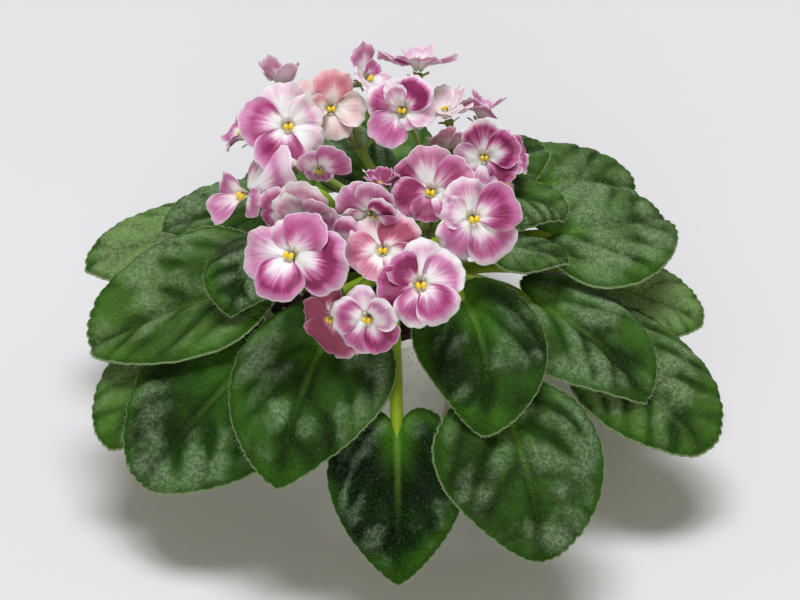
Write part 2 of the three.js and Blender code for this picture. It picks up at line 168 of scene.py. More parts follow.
class Finish:
    """A material with one Principled shader. Numbers that are the same all over are set on the shader."""

    def __init__(self, name, **even):
        self.material = bpy.data.materials.new(name)
        self.material.use_nodes = True
        self.nodes = self.material.node_tree.nodes
        self.links = self.material.node_tree.links
        self.shader = self.nodes["Principled BSDF"]
        for socket, value in even.items():
            self.shader.inputs[socket.replace("_", " ")].default_value = value

    def add(self, kind, settings=None, sockets=None, out=0):
        """Makes a node: its settings first, then its sockets, and gives back one of its outputs."""
        node = self.nodes.new(kind)
        for setting, value in (settings or {}).items():
            if setting == "stops":
                elements = node.color_ramp.elements
                for k, (place, colour) in enumerate(value):
                    element = elements[k] if k < 2 else elements.new(place)
                    element.position = place
                    element.color = colour
            else:
                setattr(node, setting, value)
        for socket, value in (sockets or {}).items():
            if isinstance(value, Wire):
                self.links.new(value.socket, node.inputs[socket])
            else:
                node.inputs[socket].default_value = value
        return Wire(self, node.outputs[out])

    def mark(self, name):
        """A value that the mesh holds at its points."""
        return self.add("ShaderNodeAttribute", {"attribute_name": name}, out="Fac")

    def marks(self, *names):
        return [self.mark(name) for name in names]

    def place(self):
        return self.add("ShaderNodeTexCoord", out="Object")

    def join(self, x, y, z):
        return self.add("ShaderNodeCombineXYZ", sockets={0: x, 1: y, 2: z})

    def noise(self, size, detail=2.0, where=None):
        """Soft noise from 0 to 1 whose blots are about so many millimetres wide."""
        where = where or self.place()
        sockets = {"Vector": where, "Scale": METRE / size, "Detail": detail}
        return self.add("ShaderNodeTexNoise", sockets=sockets)

    def cells(self, size):
        """How far a point is from the middle of its cell, in cells of about so many millimetres."""
        sockets = {"Vector": self.place(), "Scale": METRE / size}
        return self.add("ShaderNodeTexVoronoi", {"feature": "F1"}, sockets)

    def smooth(self, value, low, high):
        """0 up to low, 1 from high, and a soft step between."""
        settings = {"interpolation_type": "SMOOTHSTEP"}
        return self.add("ShaderNodeMapRange", settings, {0: value, 1: low, 2: high})

    def ramp(self, value, *stops):
        painted = [(place, paint(colour)) for place, colour in stops]
        return self.add("ShaderNodeValToRGB", {"stops": painted}, {0: value})

    def mix(self, factor, first, second):
        sockets = {0: factor, FIRST_COLOUR: paint(first), SECOND_COLOUR: paint(second)}
        return self.add("ShaderNodeMix", {"data_type": "RGBA"}, sockets, out=MIXED_COLOUR)

    def bump(self, height, depth, under=None):
        """Relief of so many millimetres."""
        sockets = {"Height": height, "Strength": 1.0, "Distance": depth * MM}
        if under:
            sockets["Normal"] = under
        return self.add("ShaderNodeBump", sockets=sockets)

    def wear(self, **sockets):
        """Links what changes over the surface to the shader."""
        for socket, wire in sockets.items():
            self.links.new(wire.socket, self.shader.inputs[socket.replace("_", " ")])
        return self.material


print("ways to add to a finish:", [name for name in vars(Finish) if name[0] != "_"])

# %% [markdown]
# ## Helpers for meshes
# Leaves and petals are thin closed shells laid out on grids, and stalks are tubes. Doing the sums on
# whole arrays of points is quick enough for a million of them. Each shell is turned right side out
# by the sign of its volume, so no face has to be wound with care.

# %% Collect shells into one piece
class Form:
    """The shells of one piece, in millimetres, each with a finish number and marks at its points."""

    def __init__(self):
        self.points = []
        self.faces = []
        self.finishes = []
        self.marks = []
        self.count = 0

    def add(self, points, faces, finish=0, **marks):
        points = np.asarray(points, float).reshape(-1, 3)
        if volume(points, faces) < 0:
            faces = [group[:, ::-1] for group in faces]
        for group in faces:
            self.faces.append(group + self.count)
            self.finishes.append(np.full(len(group), finish))
        self.points.append(points)
        self.marks.append({name: np.broadcast_to(np.ravel(m), len(points)) for name, m in marks.items()})
        self.count += len(points)

    def add_sheet(self, one, other, finish=0, **marks):
        """Two grids of points, sewn together along their borders. A mark is spread over both grids."""
        rows, columns = one.shape[:2]
        count = rows * columns
        faces = [
            grid_faces(rows, columns),
            grid_faces(rows, columns, start=count)[:, ::-1],
            hem_faces(rows, columns, count),
        ]
        spread = {name: np.broadcast_to(mark, (2, rows, columns)) for name, mark in marks.items()}
        self.add(np.stack([one, other]), faces, finish, **spread)

    def make(self, name, finishes, node):
        """Turns the shells into one object that rides on the plant and stands for its plain node."""
        mesh = bpy.data.meshes.new(name)
        corners = np.concatenate([group.ravel() for group in self.faces])
        sizes = np.concatenate([np.full(len(group), group.shape[1]) for group in self.faces])
        mesh.vertices.add(self.count)
        mesh.vertices.foreach_set("co", (np.concatenate(self.points) * MM).ravel())
        mesh.loops.add(len(corners))
        mesh.loops.foreach_set("vertex_index", corners)
        mesh.polygons.add(len(sizes))
        mesh.polygons.foreach_set("loop_start", np.cumsum(sizes) - sizes)
        mesh.polygons.foreach_set("material_index", np.concatenate(self.finishes))
        mesh.polygons.foreach_set("use_smooth", np.ones(len(sizes), bool))
        mesh.update(calc_edges=True)
        for mark in sorted({key for marks in self.marks for key in marks}):
            values = [
                marks.get(mark, np.zeros(len(points)))
                for marks, points in zip(self.marks, self.points)
            ]
            attribute = mesh.attributes.new(mark, "FLOAT", "POINT")
            attribute.data.foreach_set("value", np.concatenate(values).astype(np.float32))
        for finish in finishes:
            mesh.materials.append(finish)
        made = bpy.data.objects.new(name, mesh)
        bpy.context.scene.collection.objects.link(made)
        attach(made, "root")
        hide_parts(node)
        return made


def volume(points, faces):
    total = 0.0
    middle = points.mean(axis=0)
    for group in faces:
        corners = points[group] - middle
        for k in range(1, group.shape[1] - 1):
            total += np.einsum("ij,ij->", corners[:, 0], np.cross(corners[:, k], corners[:, k + 1]))
    return total


cube_corner = np.array([[0, 0, 0], [1, 0, 0], [0, 1, 0], [0, 0, 1.0]])
its_faces = [np.array([[0, 2, 1], [0, 1, 3], [1, 2, 3], [0, 3, 2]])]
print("six times the volume of a cube's corner:", round(volume(cube_corner, its_faces), 3))

# %% [markdown]
# A grid of points is filled with four-cornered faces. A tube's grid closes on itself and has a fan of
# triangles at each end, and a thin sheet is two grids with a hem along their borders.

# %% Faces of grids, fans and hems
def grid_faces(rows, columns, closed=False, start=0):
    """Four-cornered faces between a grid's points. A closed grid joins its last column to its first."""
    row, column = np.meshgrid(np.arange(rows - 1), np.arange(columns - (not closed)), indexing="ij")
    row, column = row.ravel(), column.ravel()
    after = (column + 1) % columns
    corners = [row * columns + column, row * columns + after]
    corners += [(row + 1) * columns + after, (row + 1) * columns + column]
    return np.stack(corners, axis=1) + start


def fan_faces(columns, middle, first, flipped=False):
    ring = first + np.arange(columns)
    after = first + (np.arange(columns) + 1) % columns
    sides = [after, ring] if flipped else [ring, after]
    return np.stack([np.full(columns, middle), *sides], axis=1)


def capped_faces(rings, sides):
    """Faces of a tube of rings, closed by fans round the two points that follow the rings."""
    count = rings * sides
    return [
        grid_faces(rings, sides, closed=True),
        fan_faces(sides, count, 0, flipped=True),
        fan_faces(sides, count + 1, count - sides),
    ]


def hem_faces(rows, columns, count):
    """Faces that sew the border of one grid to the border of its copy, count points further on."""
    top = np.arange(columns)
    right = np.arange(1, rows) * columns + columns - 1
    bottom = (rows - 1) * columns + np.arange(columns - 2, -1, -1)
    left = np.arange(rows - 2, 0, -1) * columns
    border = np.concatenate([top, right, bottom, left])
    after = np.roll(border, -1)
    return np.stack([after, border, border + count, after + count], axis=1)


print("faces of a sheet of 3 by 4 points:", 2 * len(grid_faces(3, 4)) + len(hem_faces(3, 4, 12)))

# %% [markdown]
# Directions are told as a gardener would point: so many degrees round, and so many degrees up.

# %% Directions
def unit(vectors):
    return vectors / np.linalg.norm(vectors, axis=-1, keepdims=True)


def directions(azimuth, elevation):
    """Unit vectors. Azimuth 0 is the viewer's right and 90 is away from the viewer."""
    azimuth, elevation = np.broadcast_arrays(np.radians(azimuth), np.radians(elevation))
    level = np.cos(elevation)
    return np.stack([level * np.cos(azimuth), level * np.sin(azimuth), np.sin(elevation)], axis=-1)


print("away from the viewer and level is", directions(90, 0).round(2))

# %% [markdown]
# A tube is a ring of points carried along a path. The ring's sideways direction is handed on from each
# point to the next, rather than worked out afresh, so the tube doesn't twist where the path bends.

# %% A tube round a path
NEARLY_UPRIGHT = 0.2


def round_about(across, up, sides):
    """Directions evenly round each point of a path, from two directions square to it."""
    turn = np.linspace(0, 2 * np.pi, sides, endpoint=False)[:, None]
    return across[:, None] * np.cos(turn) + up[:, None] * np.sin(turn)


def tube_shell(path, radii, sides):
    """A closed tube round a path, with a radius for each point of the path."""
    along = unit(np.gradient(path, axis=0))
    across = np.empty_like(path)
    start = np.cross(along[0], [0.0, 0.0, 1.0])
    if np.linalg.norm(start) < NEARLY_UPRIGHT:
        start = np.cross(along[0], [1.0, 0.0, 0.0])
    across[0] = unit(start)
    for k in range(1, len(path)):
        across[k] = unit(across[k - 1] - along[k] * (across[k - 1] @ along[k]))
    out = round_about(across, np.cross(along, across), sides)
    rings = path[:, None] + out * np.asarray(radii)[:, None, None]
    points = np.concatenate([rings.reshape(-1, 3), path[:1], path[-1:]])
    return points, capped_faces(len(path), sides), out


straight = np.array([[0, 0, 0], [0, 0, 5], [0, 0, 10.0]])
print("points on a tube of three rings of eight:", len(tube_shell(straight, [1, 1, 1], 8)[0]))

# %% [markdown]
# Stems bend smoothly through a few points. A centripetal curve does that without loops, even where two
# of the points lie close together. A soft step leads from 0 to 1 without a corner, and is used all over.

# %% Smooth curves and soft steps
CURVE_STEPS = 25


def spline(points, count):
    """Evenly spaced points on a smooth centripetal curve through some points."""
    knots = np.asarray(points, float)
    knots = np.vstack([2 * knots[0] - knots[1], knots, 2 * knots[-1] - knots[-2]])
    share = np.linspace(0, 1, CURVE_STEPS)[:, None]
    drawn = []
    for k in range(1, len(knots) - 2):
        before, rise, after = np.diff(knots[k - 1 : k + 3], axis=0)
        steps = [np.linalg.norm(leg) ** 0.5 for leg in (before, rise, after)]
        first = before / steps[0] - (knots[k + 1] - knots[k - 1]) / (steps[0] + steps[1])
        first = (first + rise / steps[1]) * steps[1]
        last = rise / steps[1] - (knots[k + 2] - knots[k]) / (steps[1] + steps[2])
        last = (last + after / steps[2]) * steps[1]
        drawn.append(
            knots[k] + first * share
            + (3 * rise - 2 * first - last) * share**2
            + (first + last - 2 * rise) * share**3
        )
    return respaced(np.vstack(drawn), count)


def respaced(line, count):
    """The same line, as so many points an equal way apart."""
    steps = np.linalg.norm(np.diff(line, axis=0), axis=1)
    travelled = np.concatenate([[0], np.cumsum(steps)])
    wanted = np.linspace(0, travelled[-1], count)
    return np.stack([np.interp(wanted, travelled, column) for column in line.T], axis=1)


def soft_step(value, low, high):
    share = np.clip((value - low) / (high - low), 0, 1)
    return share * share * (3 - 2 * share)


print("halfway up a soft step:", soft_step(0.5, 0, 1))

# %% [markdown]
# ## Hairs
# The whole plant is downy: leaf edges, stalks and buds carry fine pale hairs up to two millimetres long.
# Blender has hair curves, but those don't travel to other programs. A hair here is a slim three-sided
# spike, and some hundreds of them on each leaf are enough to soften its outline.
#
# Most hairs stand at points picked at random, each as long as some length within a span.

# %% Plant hairs on a surface
HAIR_RADIUS = 0.055
HAIR_SIDES = 3
HAIR_SUNK = 0.15
TOUSLE = 0.28


def hair_shells(form, roots, outward, lengths, finish, rng):
    """Three-sided spikes that stand on some points, a little tousled."""
    count = len(roots)
    lean = unit(outward + rng.normal(0, TOUSLE, (count, 3)))
    side = unit(np.cross(lean, rng.normal(0, 1, (count, 3))))
    ring = HAIR_RADIUS * round_about(side, np.cross(lean, side), HAIR_SIDES)
    feet = roots[:, None] - HAIR_SUNK * lean[:, None] + ring
    tips = (roots + lean * lengths[:, None])[:, None]
    spike = np.array([[0, 1, 3], [1, 2, 3], [2, 0, 3], [0, 2, 1]])
    faces = (spike[None] + 4 * np.arange(count)[:, None, None]).reshape(-1, 3)
    form.add(np.concatenate([feet, tips], axis=1), [faces], finish, tip=np.tile([0.0, 0, 0, 1], count))


def scatter_hairs(form, points, outward, count, span, rng, first=0, last=None):
    """So many hairs on a piece whose third finish is the hairs' own."""
    picked = rng.integers(first, last or len(outward), count)
    hair_shells(form, points[picked], outward[picked], rng.uniform(*span, count), 2, rng)


print("a hair is", 2 * HAIR_RADIUS, "mm thick at its foot")

# %% [markdown]
# A hair is clear, so it looks grey-green at its foot, where the skin shows through, and nearly white at
# its tip.

# %% The hairs' finish
SHADES.update(hair_foot=(128, 146, 104), hair_tip=(214, 222, 204))


def hair_finish():
    finish = Finish("plant_hair", Roughness=0.6, Sheen_Weight=0.3)
    shade = finish.smooth(finish.mark("tip") + 0.3 * finish.noise(4), 0.0, 1.1)
    return finish.wear(Base_Color=finish.mix(shade, "hair_foot", "hair_tip"))


hair = hair_finish()
print("nodes in the hairs' finish:", len(hair.node_tree.nodes))

# %% [markdown]
# ## The pot
# The pot is a thin white plastic one, ten centimetres across, with a turned-down lip and six drain
# holes. It is a turned shape, so its outline is spun round an axis, and the holes are cut with a Boolean.
# Watering leaves brown mineral marks, most of them just under the lip.

# %% The pot's sizes
POT_HEIGHT = 80
RIM_RADIUS = 50
BASE_RADIUS = 35
WALL = 1.6
POT_FLOOR = 2.5
LIP_HEIGHT = 11
LIP_WIDTH = 3.2
DRAINS = 6
DRAIN_RADIUS = 2.4
DRAIN_CIRCLE = 24

wall_top = RIM_RADIUS - LIP_WIDTH
lip_foot = POT_HEIGHT - LIP_HEIGHT


def inner_radius(height):
    return BASE_RADIUS - WALL + (wall_top - BASE_RADIUS) * height / POT_HEIGHT


print("the pot is", round(2 * inner_radius(POT_HEIGHT), 1), "mm wide inside its rim")

# %% [markdown]
# No edge of a moulded pot is sharp. A bevel on the finished mesh would round them, but it is lighter to
# replace each corner of the outline with a short curve before the outline is spun.

# %% The pot's outline and its spun shell
UNDERCUT = 0.6
CORNER_STEPS = 4
CORNER_REACH = [0, 1.2, 0.5, 1.1, 1.2, 0.5, 1.0, 0]


def spun_shell(profile, sides):
    """Spins an outline round the upright axis. It is given as radius and height, and ends on the axis."""
    turn = np.linspace(0, 2 * np.pi, sides, endpoint=False)
    radius, height = np.array(profile, float).T
    across, away = radius[:, None] * np.cos(turn), radius[:, None] * np.sin(turn)
    rings = np.stack([across, away, np.repeat(height[:, None], sides, axis=1)], axis=-1)[1:-1]
    ends = [[0, 0, height[0]], [0, 0, height[-1]]]
    return np.concatenate([rings.reshape(-1, 3), ends]), capped_faces(len(rings), sides)


def rounded(corner, reach, before, after):
    """A corner of an outline, rounded off between the points that lie reach away on either side."""
    corner = np.array(corner, float)
    start = corner + reach * unit(np.array(before, float) - corner)
    end = corner + reach * unit(np.array(after, float) - corner)
    share = np.linspace(0, 1, CORNER_STEPS)[:, None]
    return ((1 - share) ** 2 * start + 2 * share * (1 - share) * corner + share**2 * end).tolist()


pot_corners = [
    (0, 0), (BASE_RADIUS, 0), (wall_top - UNDERCUT, lip_foot), (RIM_RADIUS, lip_foot),
    (RIM_RADIUS, POT_HEIGHT), (inner_radius(POT_HEIGHT), POT_HEIGHT),
    (inner_radius(POT_FLOOR), POT_FLOOR), (0, POT_FLOOR),
]
pot_profile = [pot_corners[0]]
for k in range(1, len(pot_corners) - 1):
    pot_profile += rounded(pot_corners[k], CORNER_REACH[k], pot_corners[k - 1], pot_corners[k + 1])
pot_profile.append(pot_corners[-1])
print("pot outline points:", len(pot_profile))

# %% [markdown]
# White plastic is never quite even. Faint cloudy patches, thin scratches up the wall and brown tide marks
# under the lip and round the foot make it look used. The marks come from noise that is held back to the
# heights where water dries.

# %% The pot's plastic
SHADES.update(
    plastic=(228, 226, 219), bright_plastic=(242, 241, 236), tide_mark=(158, 134, 98), grime=(74, 60, 44),
)


def pot_finish():
    finish = Finish("pot_plastic", IOR=1.46, Coat_Weight=0.05)
    place = finish.place()
    height = finish.add("ShaderNodeSeparateXYZ", sockets={0: place}, out=2) * METRE
    cloud = finish.noise(30, 3, place)
    plain = finish.mix(cloud, "plastic", "bright_plastic")
    specks = finish.smooth(finish.noise(1.6, 3, place), 0.62, 0.72)
    blots = finish.smooth(finish.noise(9, 5, place), 0.52, 0.70)
    near_lip = finish.smooth(height, 58, 70) * (1 - finish.smooth(height, 76, 82))
    near_foot = 1 - finish.smooth(height, 0, 9)
    stain = (blots * (0.25 + 0.75 * near_lip.largest(near_foot))) * 0.6
    colour = finish.mix(stain, plain, "tide_mark")
    colour = finish.mix((specks * (0.2 + 0.8 * near_lip)) * 0.8, colour, "grime")
    stretched = finish.add("ShaderNodeVectorMath", {"operation": "MULTIPLY"}, {0: place, 1: (1, 1, 0.06)})
    scratches = finish.noise(0.9, 2, stretched)
    roughness = 0.34 + 0.16 * cloud + 0.3 * stain
    normal = finish.bump(scratches, 0.03, finish.bump(cloud, 0.25))
    return finish.wear(Base_Color=colour, Roughness=roughness, Normal=normal)


plastic = pot_finish()
print("nodes in the pot's finish:", len(plastic.node_tree.nodes))

# %% [markdown]
# The drain holes are drilled through the pot's floor with cylinders a little longer than it is thick.
# Edges sharper than a limit stay crisp, and all others are shaded as round.

# %% Spin the pot and drill its drain holes
POT_SIDES = 160
DRILL_SIDES = 24
DRILL_FOOT = -5
DRILL_TOP = 6
CRISP_ANGLE = 50


def drilled(made, holes):
    """The object's mesh with some cylinders cut out of it."""
    cutter_form = Form()
    drill = [(0, DRILL_FOOT), (DRAIN_RADIUS, DRILL_FOOT), (DRAIN_RADIUS, DRILL_TOP), (0, DRILL_TOP)]
    for k in range(holes):
        turn = 2 * np.pi * k / holes
        shell, faces = spun_shell(drill, DRILL_SIDES)
        cutter_form.add(shell + [DRAIN_CIRCLE * np.cos(turn), DRAIN_CIRCLE * np.sin(turn), 0], faces)
    mesh = bpy.data.meshes.new("drill")
    groups = [face.tolist() for group in cutter_form.faces for face in group]
    mesh.from_pydata((np.concatenate(cutter_form.points) * MM).tolist(), [], groups)
    cutter = bpy.data.objects.new("drill", mesh)
    bpy.context.scene.collection.objects.link(cutter)
    cut = made.modifiers.new("drill", "BOOLEAN")
    cut.operation = "DIFFERENCE"
    cut.solver = "EXACT"
    cut.object = cutter
    bpy.context.view_layer.update()
    graph = bpy.context.evaluated_depsgraph_get()
    made.data = bpy.data.meshes.new_from_object(made.evaluated_get(graph))
    made.modifiers.clear()
    bpy.data.objects.remove(cutter)


pot_form = Form()
pot_form.add(*spun_shell(pot_profile, POT_SIDES))
pot = pot_form.make("pot_shell", [plastic], "pot")
drilled(pot, DRAINS)
pot.data.polygons.foreach_set("use_smooth", np.ones(len(pot.data.polygons), bool))
pot.data.set_sharp_from_angle(angle=math.radians(CRISP_ANGLE))
print("pot faces:", len(pot.data.polygons))

# %% [markdown]
# ## The soil
# Potting mix is dark, damp and crumbly, with white grains of perlite. A displaced mound alone looks like
# felt, so loose crumbs and grains lie on it. Each crumb is a small ball pushed out of shape at random.

# %% The soil's surface
SOIL_EDGE = 71
SOIL_CREST = 3.5
SHOULDER = 0.6
SHOULDER_HEIGHT = 0.75


def soil_height(radius):
    shares = [0, SHOULDER * wall_top, inner_radius(SOIL_EDGE)]
    heights = [SOIL_EDGE + SOIL_CREST, SOIL_EDGE + SHOULDER_HEIGHT * SOIL_CREST, SOIL_EDGE]
    return np.interp(radius, shares, heights)


def ripple(points, size, rng, waves=7):
    """Smooth uneven relief, about -1 to 1: a few waves across each other in random directions."""
    total = np.zeros(points.shape[:-1])
    for _ in range(waves):
        way = unit(rng.normal(0, 1, 3)) * 2 * np.pi / (size * rng.uniform(0.7, 1.5))
        total += np.sin(points @ way + rng.uniform(0, 2 * np.pi))
    return total / waves**0.5 / 1.2


print("the soil stands at", soil_height(0), "mm in the middle and", SOIL_EDGE, "mm at the edge")

# %% [markdown]
# The mound is one closed solid, a little smaller than the pot's inside, with lumps of two sizes on its
# upper side. The lumps fade out towards the wall, so that none of them pokes through the plastic.

# %% The mound
PLAY = 0.3
SOIL_RINGS = 46
SOIL_SIDES = 120
SOIL_LUMPS = ((0.55, 7), (0.4, 3))


def soil_mound(rng):
    top = inner_radius(SOIL_EDGE) - PLAY
    foot = inner_radius(POT_FLOOR) - PLAY
    profile = [(0, POT_FLOOR + PLAY), (foot, POT_FLOOR + PLAY)]
    profile += [(radius, soil_height(radius)) for radius in np.linspace(top, 0, SOIL_RINGS)]
    points, faces = spun_shell(profile, SOIL_SIDES)
    on_top = points[:, 2] > SOIL_EDGE - 1
    held = on_top * soft_step(top + 0.5 - np.hypot(points[:, 0], points[:, 1]), 0, 3)
    points[:, 2] += held * sum(height * ripple(points, size, rng) for height, size in SOIL_LUMPS)
    return points, faces


soil_rng = np.random.default_rng(11)
soil_form = Form()
soil_form.add(*soil_mound(soil_rng))
print("points on the mound:", soil_form.count)

# %% [markdown]
# Crumbs of bark and grains of perlite lie loose on top. Each is a ball of a few dozen points, stretched
# and dented at random. They could be dropped and left to settle, but strewing them and sinking them a
# little looks the same, and comes out the same on every run.

# %% Crumbs and perlite on the mound
CRUMBS = 430
CRUMB_SIZES = (0.5, 1.7)
PERLITE = 85
PERLITE_SIZES = (0.5, 1.5)
GRAIN_FIELD = 0.97
GRAIN_STRETCH = (0.7, 1.25)
GRAIN_LUMP = 0.22
GRAIN_RISE = 0.25


def ball(rings=5, sides=8):
    """Points and faces of a small ball of radius 1."""
    tilt = np.linspace(-90, 90, rings + 2)
    profile = [(math.cos(math.radians(t)), math.sin(math.radians(t))) for t in tilt]
    return spun_shell(profile, sides)


def grain_shells(form, count, sizes, finish, rng):
    """Small balls pushed out of shape, strewn evenly over the mound."""
    points, faces = ball()
    for _ in range(count):
        radius = inner_radius(SOIL_EDGE) * GRAIN_FIELD * rng.uniform(0.02, 1) ** 0.5
        turn = rng.uniform(0, 2 * np.pi)
        size = rng.uniform(*sizes)
        shape = points * rng.uniform(*GRAIN_STRETCH, 3)
        shape = shape * (1 + GRAIN_LUMP * ripple(shape, 1.6, rng, 3))[:, None]
        place = [radius * np.cos(turn), radius * np.sin(turn), soil_height(radius) + GRAIN_RISE * size]
        form.add(shape * size + place, faces, finish)


grain_shells(soil_form, CRUMBS, CRUMB_SIZES, 0, soil_rng)
grain_shells(soil_form, PERLITE, PERLITE_SIZES, 1, soil_rng)
print("points with all the grains:", soil_form.count)

# %% [markdown]
# Two finishes share this piece: the mix, nearly black with browner fibres, and the perlite, an off-white
# glassy foam that picks up stains.

# %% The soil's finishes
SHADES.update(
    damp_mix=(26, 19, 13), dry_mix=(66, 48, 34), fibre=(112, 88, 60),
    clean_perlite=(224, 220, 210), stained_perlite=(138, 114, 86),
)


def soil_finish():
    finish = Finish("potting_mix", Specular_IOR_Level=0.3)
    blots = finish.noise(3.5, 5)
    fibres = finish.smooth(finish.noise(0.8, 3), 0.55, 0.75)
    colour = finish.mix(fibres * 0.5, finish.mix(blots, "damp_mix", "dry_mix"), "fibre")
    crumbs = finish.bump(finish.noise(0.9, 5), 0.5)
    return finish.wear(Base_Color=colour, Roughness=0.75 + 0.25 * blots, Normal=crumbs)


def perlite_finish():
    finish = Finish("perlite")
    stain = finish.smooth(finish.noise(2.5, 3), 0.45, 0.75)
    colour = finish.mix(stain * 0.7, "clean_perlite", "stained_perlite")
    pores = finish.bump(finish.cells(0.5), 0.2)
    return finish.wear(Base_Color=colour, Roughness=0.7 + 0.2 * stain, Normal=pores)


soil = soil_form.make("soil_mound", [soil_finish(), perlite_finish()], "soil")
print("soil finishes:", [finish.name for finish in soil.data.materials])

# %% [markdown]
# ## The crown
# All leaves and flower stalks grow from one short, thick, leaning stem. It is lumpy with the scars of
# old leaves. A tube along its axis with soft lumps and a few hairs is enough: little of it shows.

# %% The crown's finish
SHADES.update(crown_green=(84, 106, 44), crown_olive=(132, 146, 74), crown_scar=(112, 84, 52))


def crown_finish():
    finish = Finish("crown_skin", Specular_IOR_Level=0.35)
    blots = finish.noise(5, 4)
    scars = finish.smooth(finish.noise(2.5, 3), 0.5, 0.7)
    colour = finish.mix(scars * 0.6, finish.mix(blots, "crown_green", "crown_olive"), "crown_scar")
    return finish.wear(Base_Color=colour, Roughness=0.55 + 0.3 * scars, Normal=finish.bump(blots, 0.6))


crown_skin = crown_finish()
print("nodes in the crown's finish:", len(crown_skin.node_tree.nodes))

# %% [markdown]
# The tube follows a leaning axis and narrows to a blunt dome at its head. Leaf stalks start inside it, so
# no gap shows between a stalk and the crown.

# %% The crown's tube
CROWN_RADIUS = 9
CROWN_FOOT = np.array([9.0, 0, 62])
CROWN_HEAD = np.array([17.0, 0, 106])
CROWN_DOME = 1.5
CROWN_RINGS = 40
CROWN_SIDES = 48
CROWN_TAPER = ([0, 0.93, 0.98, 1], [1, 0.9, 0.74, 0.4])
CROWN_LUMP = 0.35
CROWN_HAIRS = 260
CROWN_LENGTHS = (0.8, 1.8)


def crown_axis(height):
    share = (np.asarray(height, float) - CROWN_FOOT[2]) / (CROWN_HEAD[2] - CROWN_FOOT[2])
    return CROWN_FOOT + (CROWN_HEAD - CROWN_FOOT) * share[..., None]


crown_rng = np.random.default_rng(23)
crown_path = crown_axis(np.linspace(CROWN_FOOT[2], CROWN_HEAD[2] + CROWN_DOME, CROWN_RINGS))
crown_radii = np.interp(np.linspace(0, 1, CROWN_RINGS), *CROWN_TAPER) * CROWN_RADIUS
crown_points, crown_faces, crown_out = tube_shell(crown_path, crown_radii, CROWN_SIDES)
crown_out = crown_out.reshape(-1, 3)
lumps = CROWN_LUMP * ripple(crown_points[: len(crown_out)], 6, crown_rng)
crown_points[: len(crown_out)] += crown_out * lumps[:, None]
crown_form = Form()
crown_form.add(crown_points, crown_faces)
picked = crown_rng.choice(len(crown_out), CROWN_HAIRS, replace=False)
crown_hairs = crown_rng.uniform(*CROWN_LENGTHS, CROWN_HAIRS)
hair_shells(crown_form, crown_points[picked], crown_out[picked], crown_hairs, 1, crown_rng)
crown_form.make("crown_stem", [crown_skin, hair], "crown")
print("crown points:", crown_form.count)

# %% [markdown]
# ## The leaves' places
# Each leaf is told by the way it grows: where its root sits on the crown, how long its stalk and blade
# are, and how its midrib bends down and sideways. One row of numbers a leaf keeps the whole rosette in
# sight. The last number is how old and pale the leaf is. Below 0 it is painted shade: the skin is
# darkened and the painted sheen thinned, for a leaf that lies in the shadow of the leaves above it.

# %% One row a leaf
Leaf = namedtuple("Leaf", "az z stalk blade width slope turn roll fold point age")
LEAVES = {
    # This leaf's last number is below 0: painted shade, for the shadow that the leaves above cast on it.
    "leaf_outer_front": Leaf(-88, 79, 78, 72, 58, (15, -24, -49), -2, 0, 0, 0.6, -0.4),
    "leaf_outer_front_right": Leaf(-57, 84, 80, 76, 72, (8, -16, -55), -25, 0, 0, 0.3, 0.2),
    "leaf_outer_right_front": Leaf(-13, 85, 80, 78, 68, (3, -17, -40), -40, 2, 0, 0, 0.45),
    "leaf_outer_right": Leaf(10, 81, 84, 58, 58, (10, -18, -24), -24, 6, 0, 0.3, 1),
    "leaf_outer_right_back": Leaf(48, 86, 80, 62, 66, (12, -4, -28), -36, 10, 0, 0, 0.52),
    "leaf_outer_back_right": Leaf(70, 79, 70, 62, 54, (12, -4, -30), 0, 0, 0, 0.4, 0.6),
    "leaf_outer_back": Leaf(94, 86, 62, 64, 54, (18, 4, -6), 4, 0, 0, 0.4, 0.55),
    "leaf_outer_back_left": Leaf(118, 80, 66, 62, 54, (12, -4, -26), 0, 0, 0, 0.4, 0.6),
    "leaf_outer_left_back": Leaf(152, 86, 78, 72, 62, (6, -10, -26), 40, -8, 0, 0.5, 1),
    "leaf_outer_left_low": Leaf(-168, 83, 74, 75, 60, (10, -20, -38), 50, 0, 0, 0.3, 0.55),
    "leaf_outer_front_left": Leaf(-140, 87, 60, 86, 80, (8, -20, -42), -2, -14, 0, 0.2, 0.1),
    "leaf_middle_left": Leaf(-168, 94, 51, 86, 70, (2, -10, -28), -3, -14, 0.3, 0.1, 0.45),
    "leaf_middle_front_left": Leaf(-120, 93, 42, 84, 70, (12, -10, -44), 18, 0, 0, 0.5, 0.12),
    "leaf_middle_front_right": Leaf(-53, 101, 36, 74, 56, (12, -5, -40), -54, 0, 0, 0.3, 0.1),
    "leaf_middle_right_front": Leaf(-18, 90, 50, 76, 64, (3, -8, -36), -34, 0, 0, 0.5, 0.2),
    "leaf_middle_right": Leaf(4, 94, 57, 67, 70, (12, 0, -14), 32, 10, 0, 0, 0.38),
    "leaf_middle_left_back": Leaf(147, 98, 47, 64, 62, (8, -4, -14), 52, -4, 0, 0.6, 0.35),
    "leaf_inner_right_back": Leaf(58, 99, 46, 46, 44, (24, 4, -8), -40, 0, 0, 0, 0.45),
    "leaf_inner_right": Leaf(25, 103, 32, 42, 40, (28, 12, -34), -50, 0, 0, 0.2, 0.45),
    "leaf_inner_right_low": Leaf(-14, 101, 34, 36, 30, (18, 4, -20), 4, -6, 0, 0.2, 0.45),
    "leaf_inner_left": Leaf(-178, 101, 44, 46, 46, (16, 2, -40), 84, 0, 0, 0.6, 0.2),
    "leaf_inner_back": Leaf(112, 101, 24, 46, 40, (40, 24, 4), 30, 0, 0, 0.4, 0.15),
}
print("leaves:", len(LEAVES))

# %% [markdown]
# ## A leaf's midrib
# The midrib is a path whose heading swings evenly from the root to the tip. Adding up many short steps
# along that heading gives its line, and at each point the blade spreads to the left and right of it.

# %% Follow the midrib
MIDRIB_STEPS = 480
PLAIN_STEPS = 60
ROOT_DEPTH = 0.7
SWING = 1.5
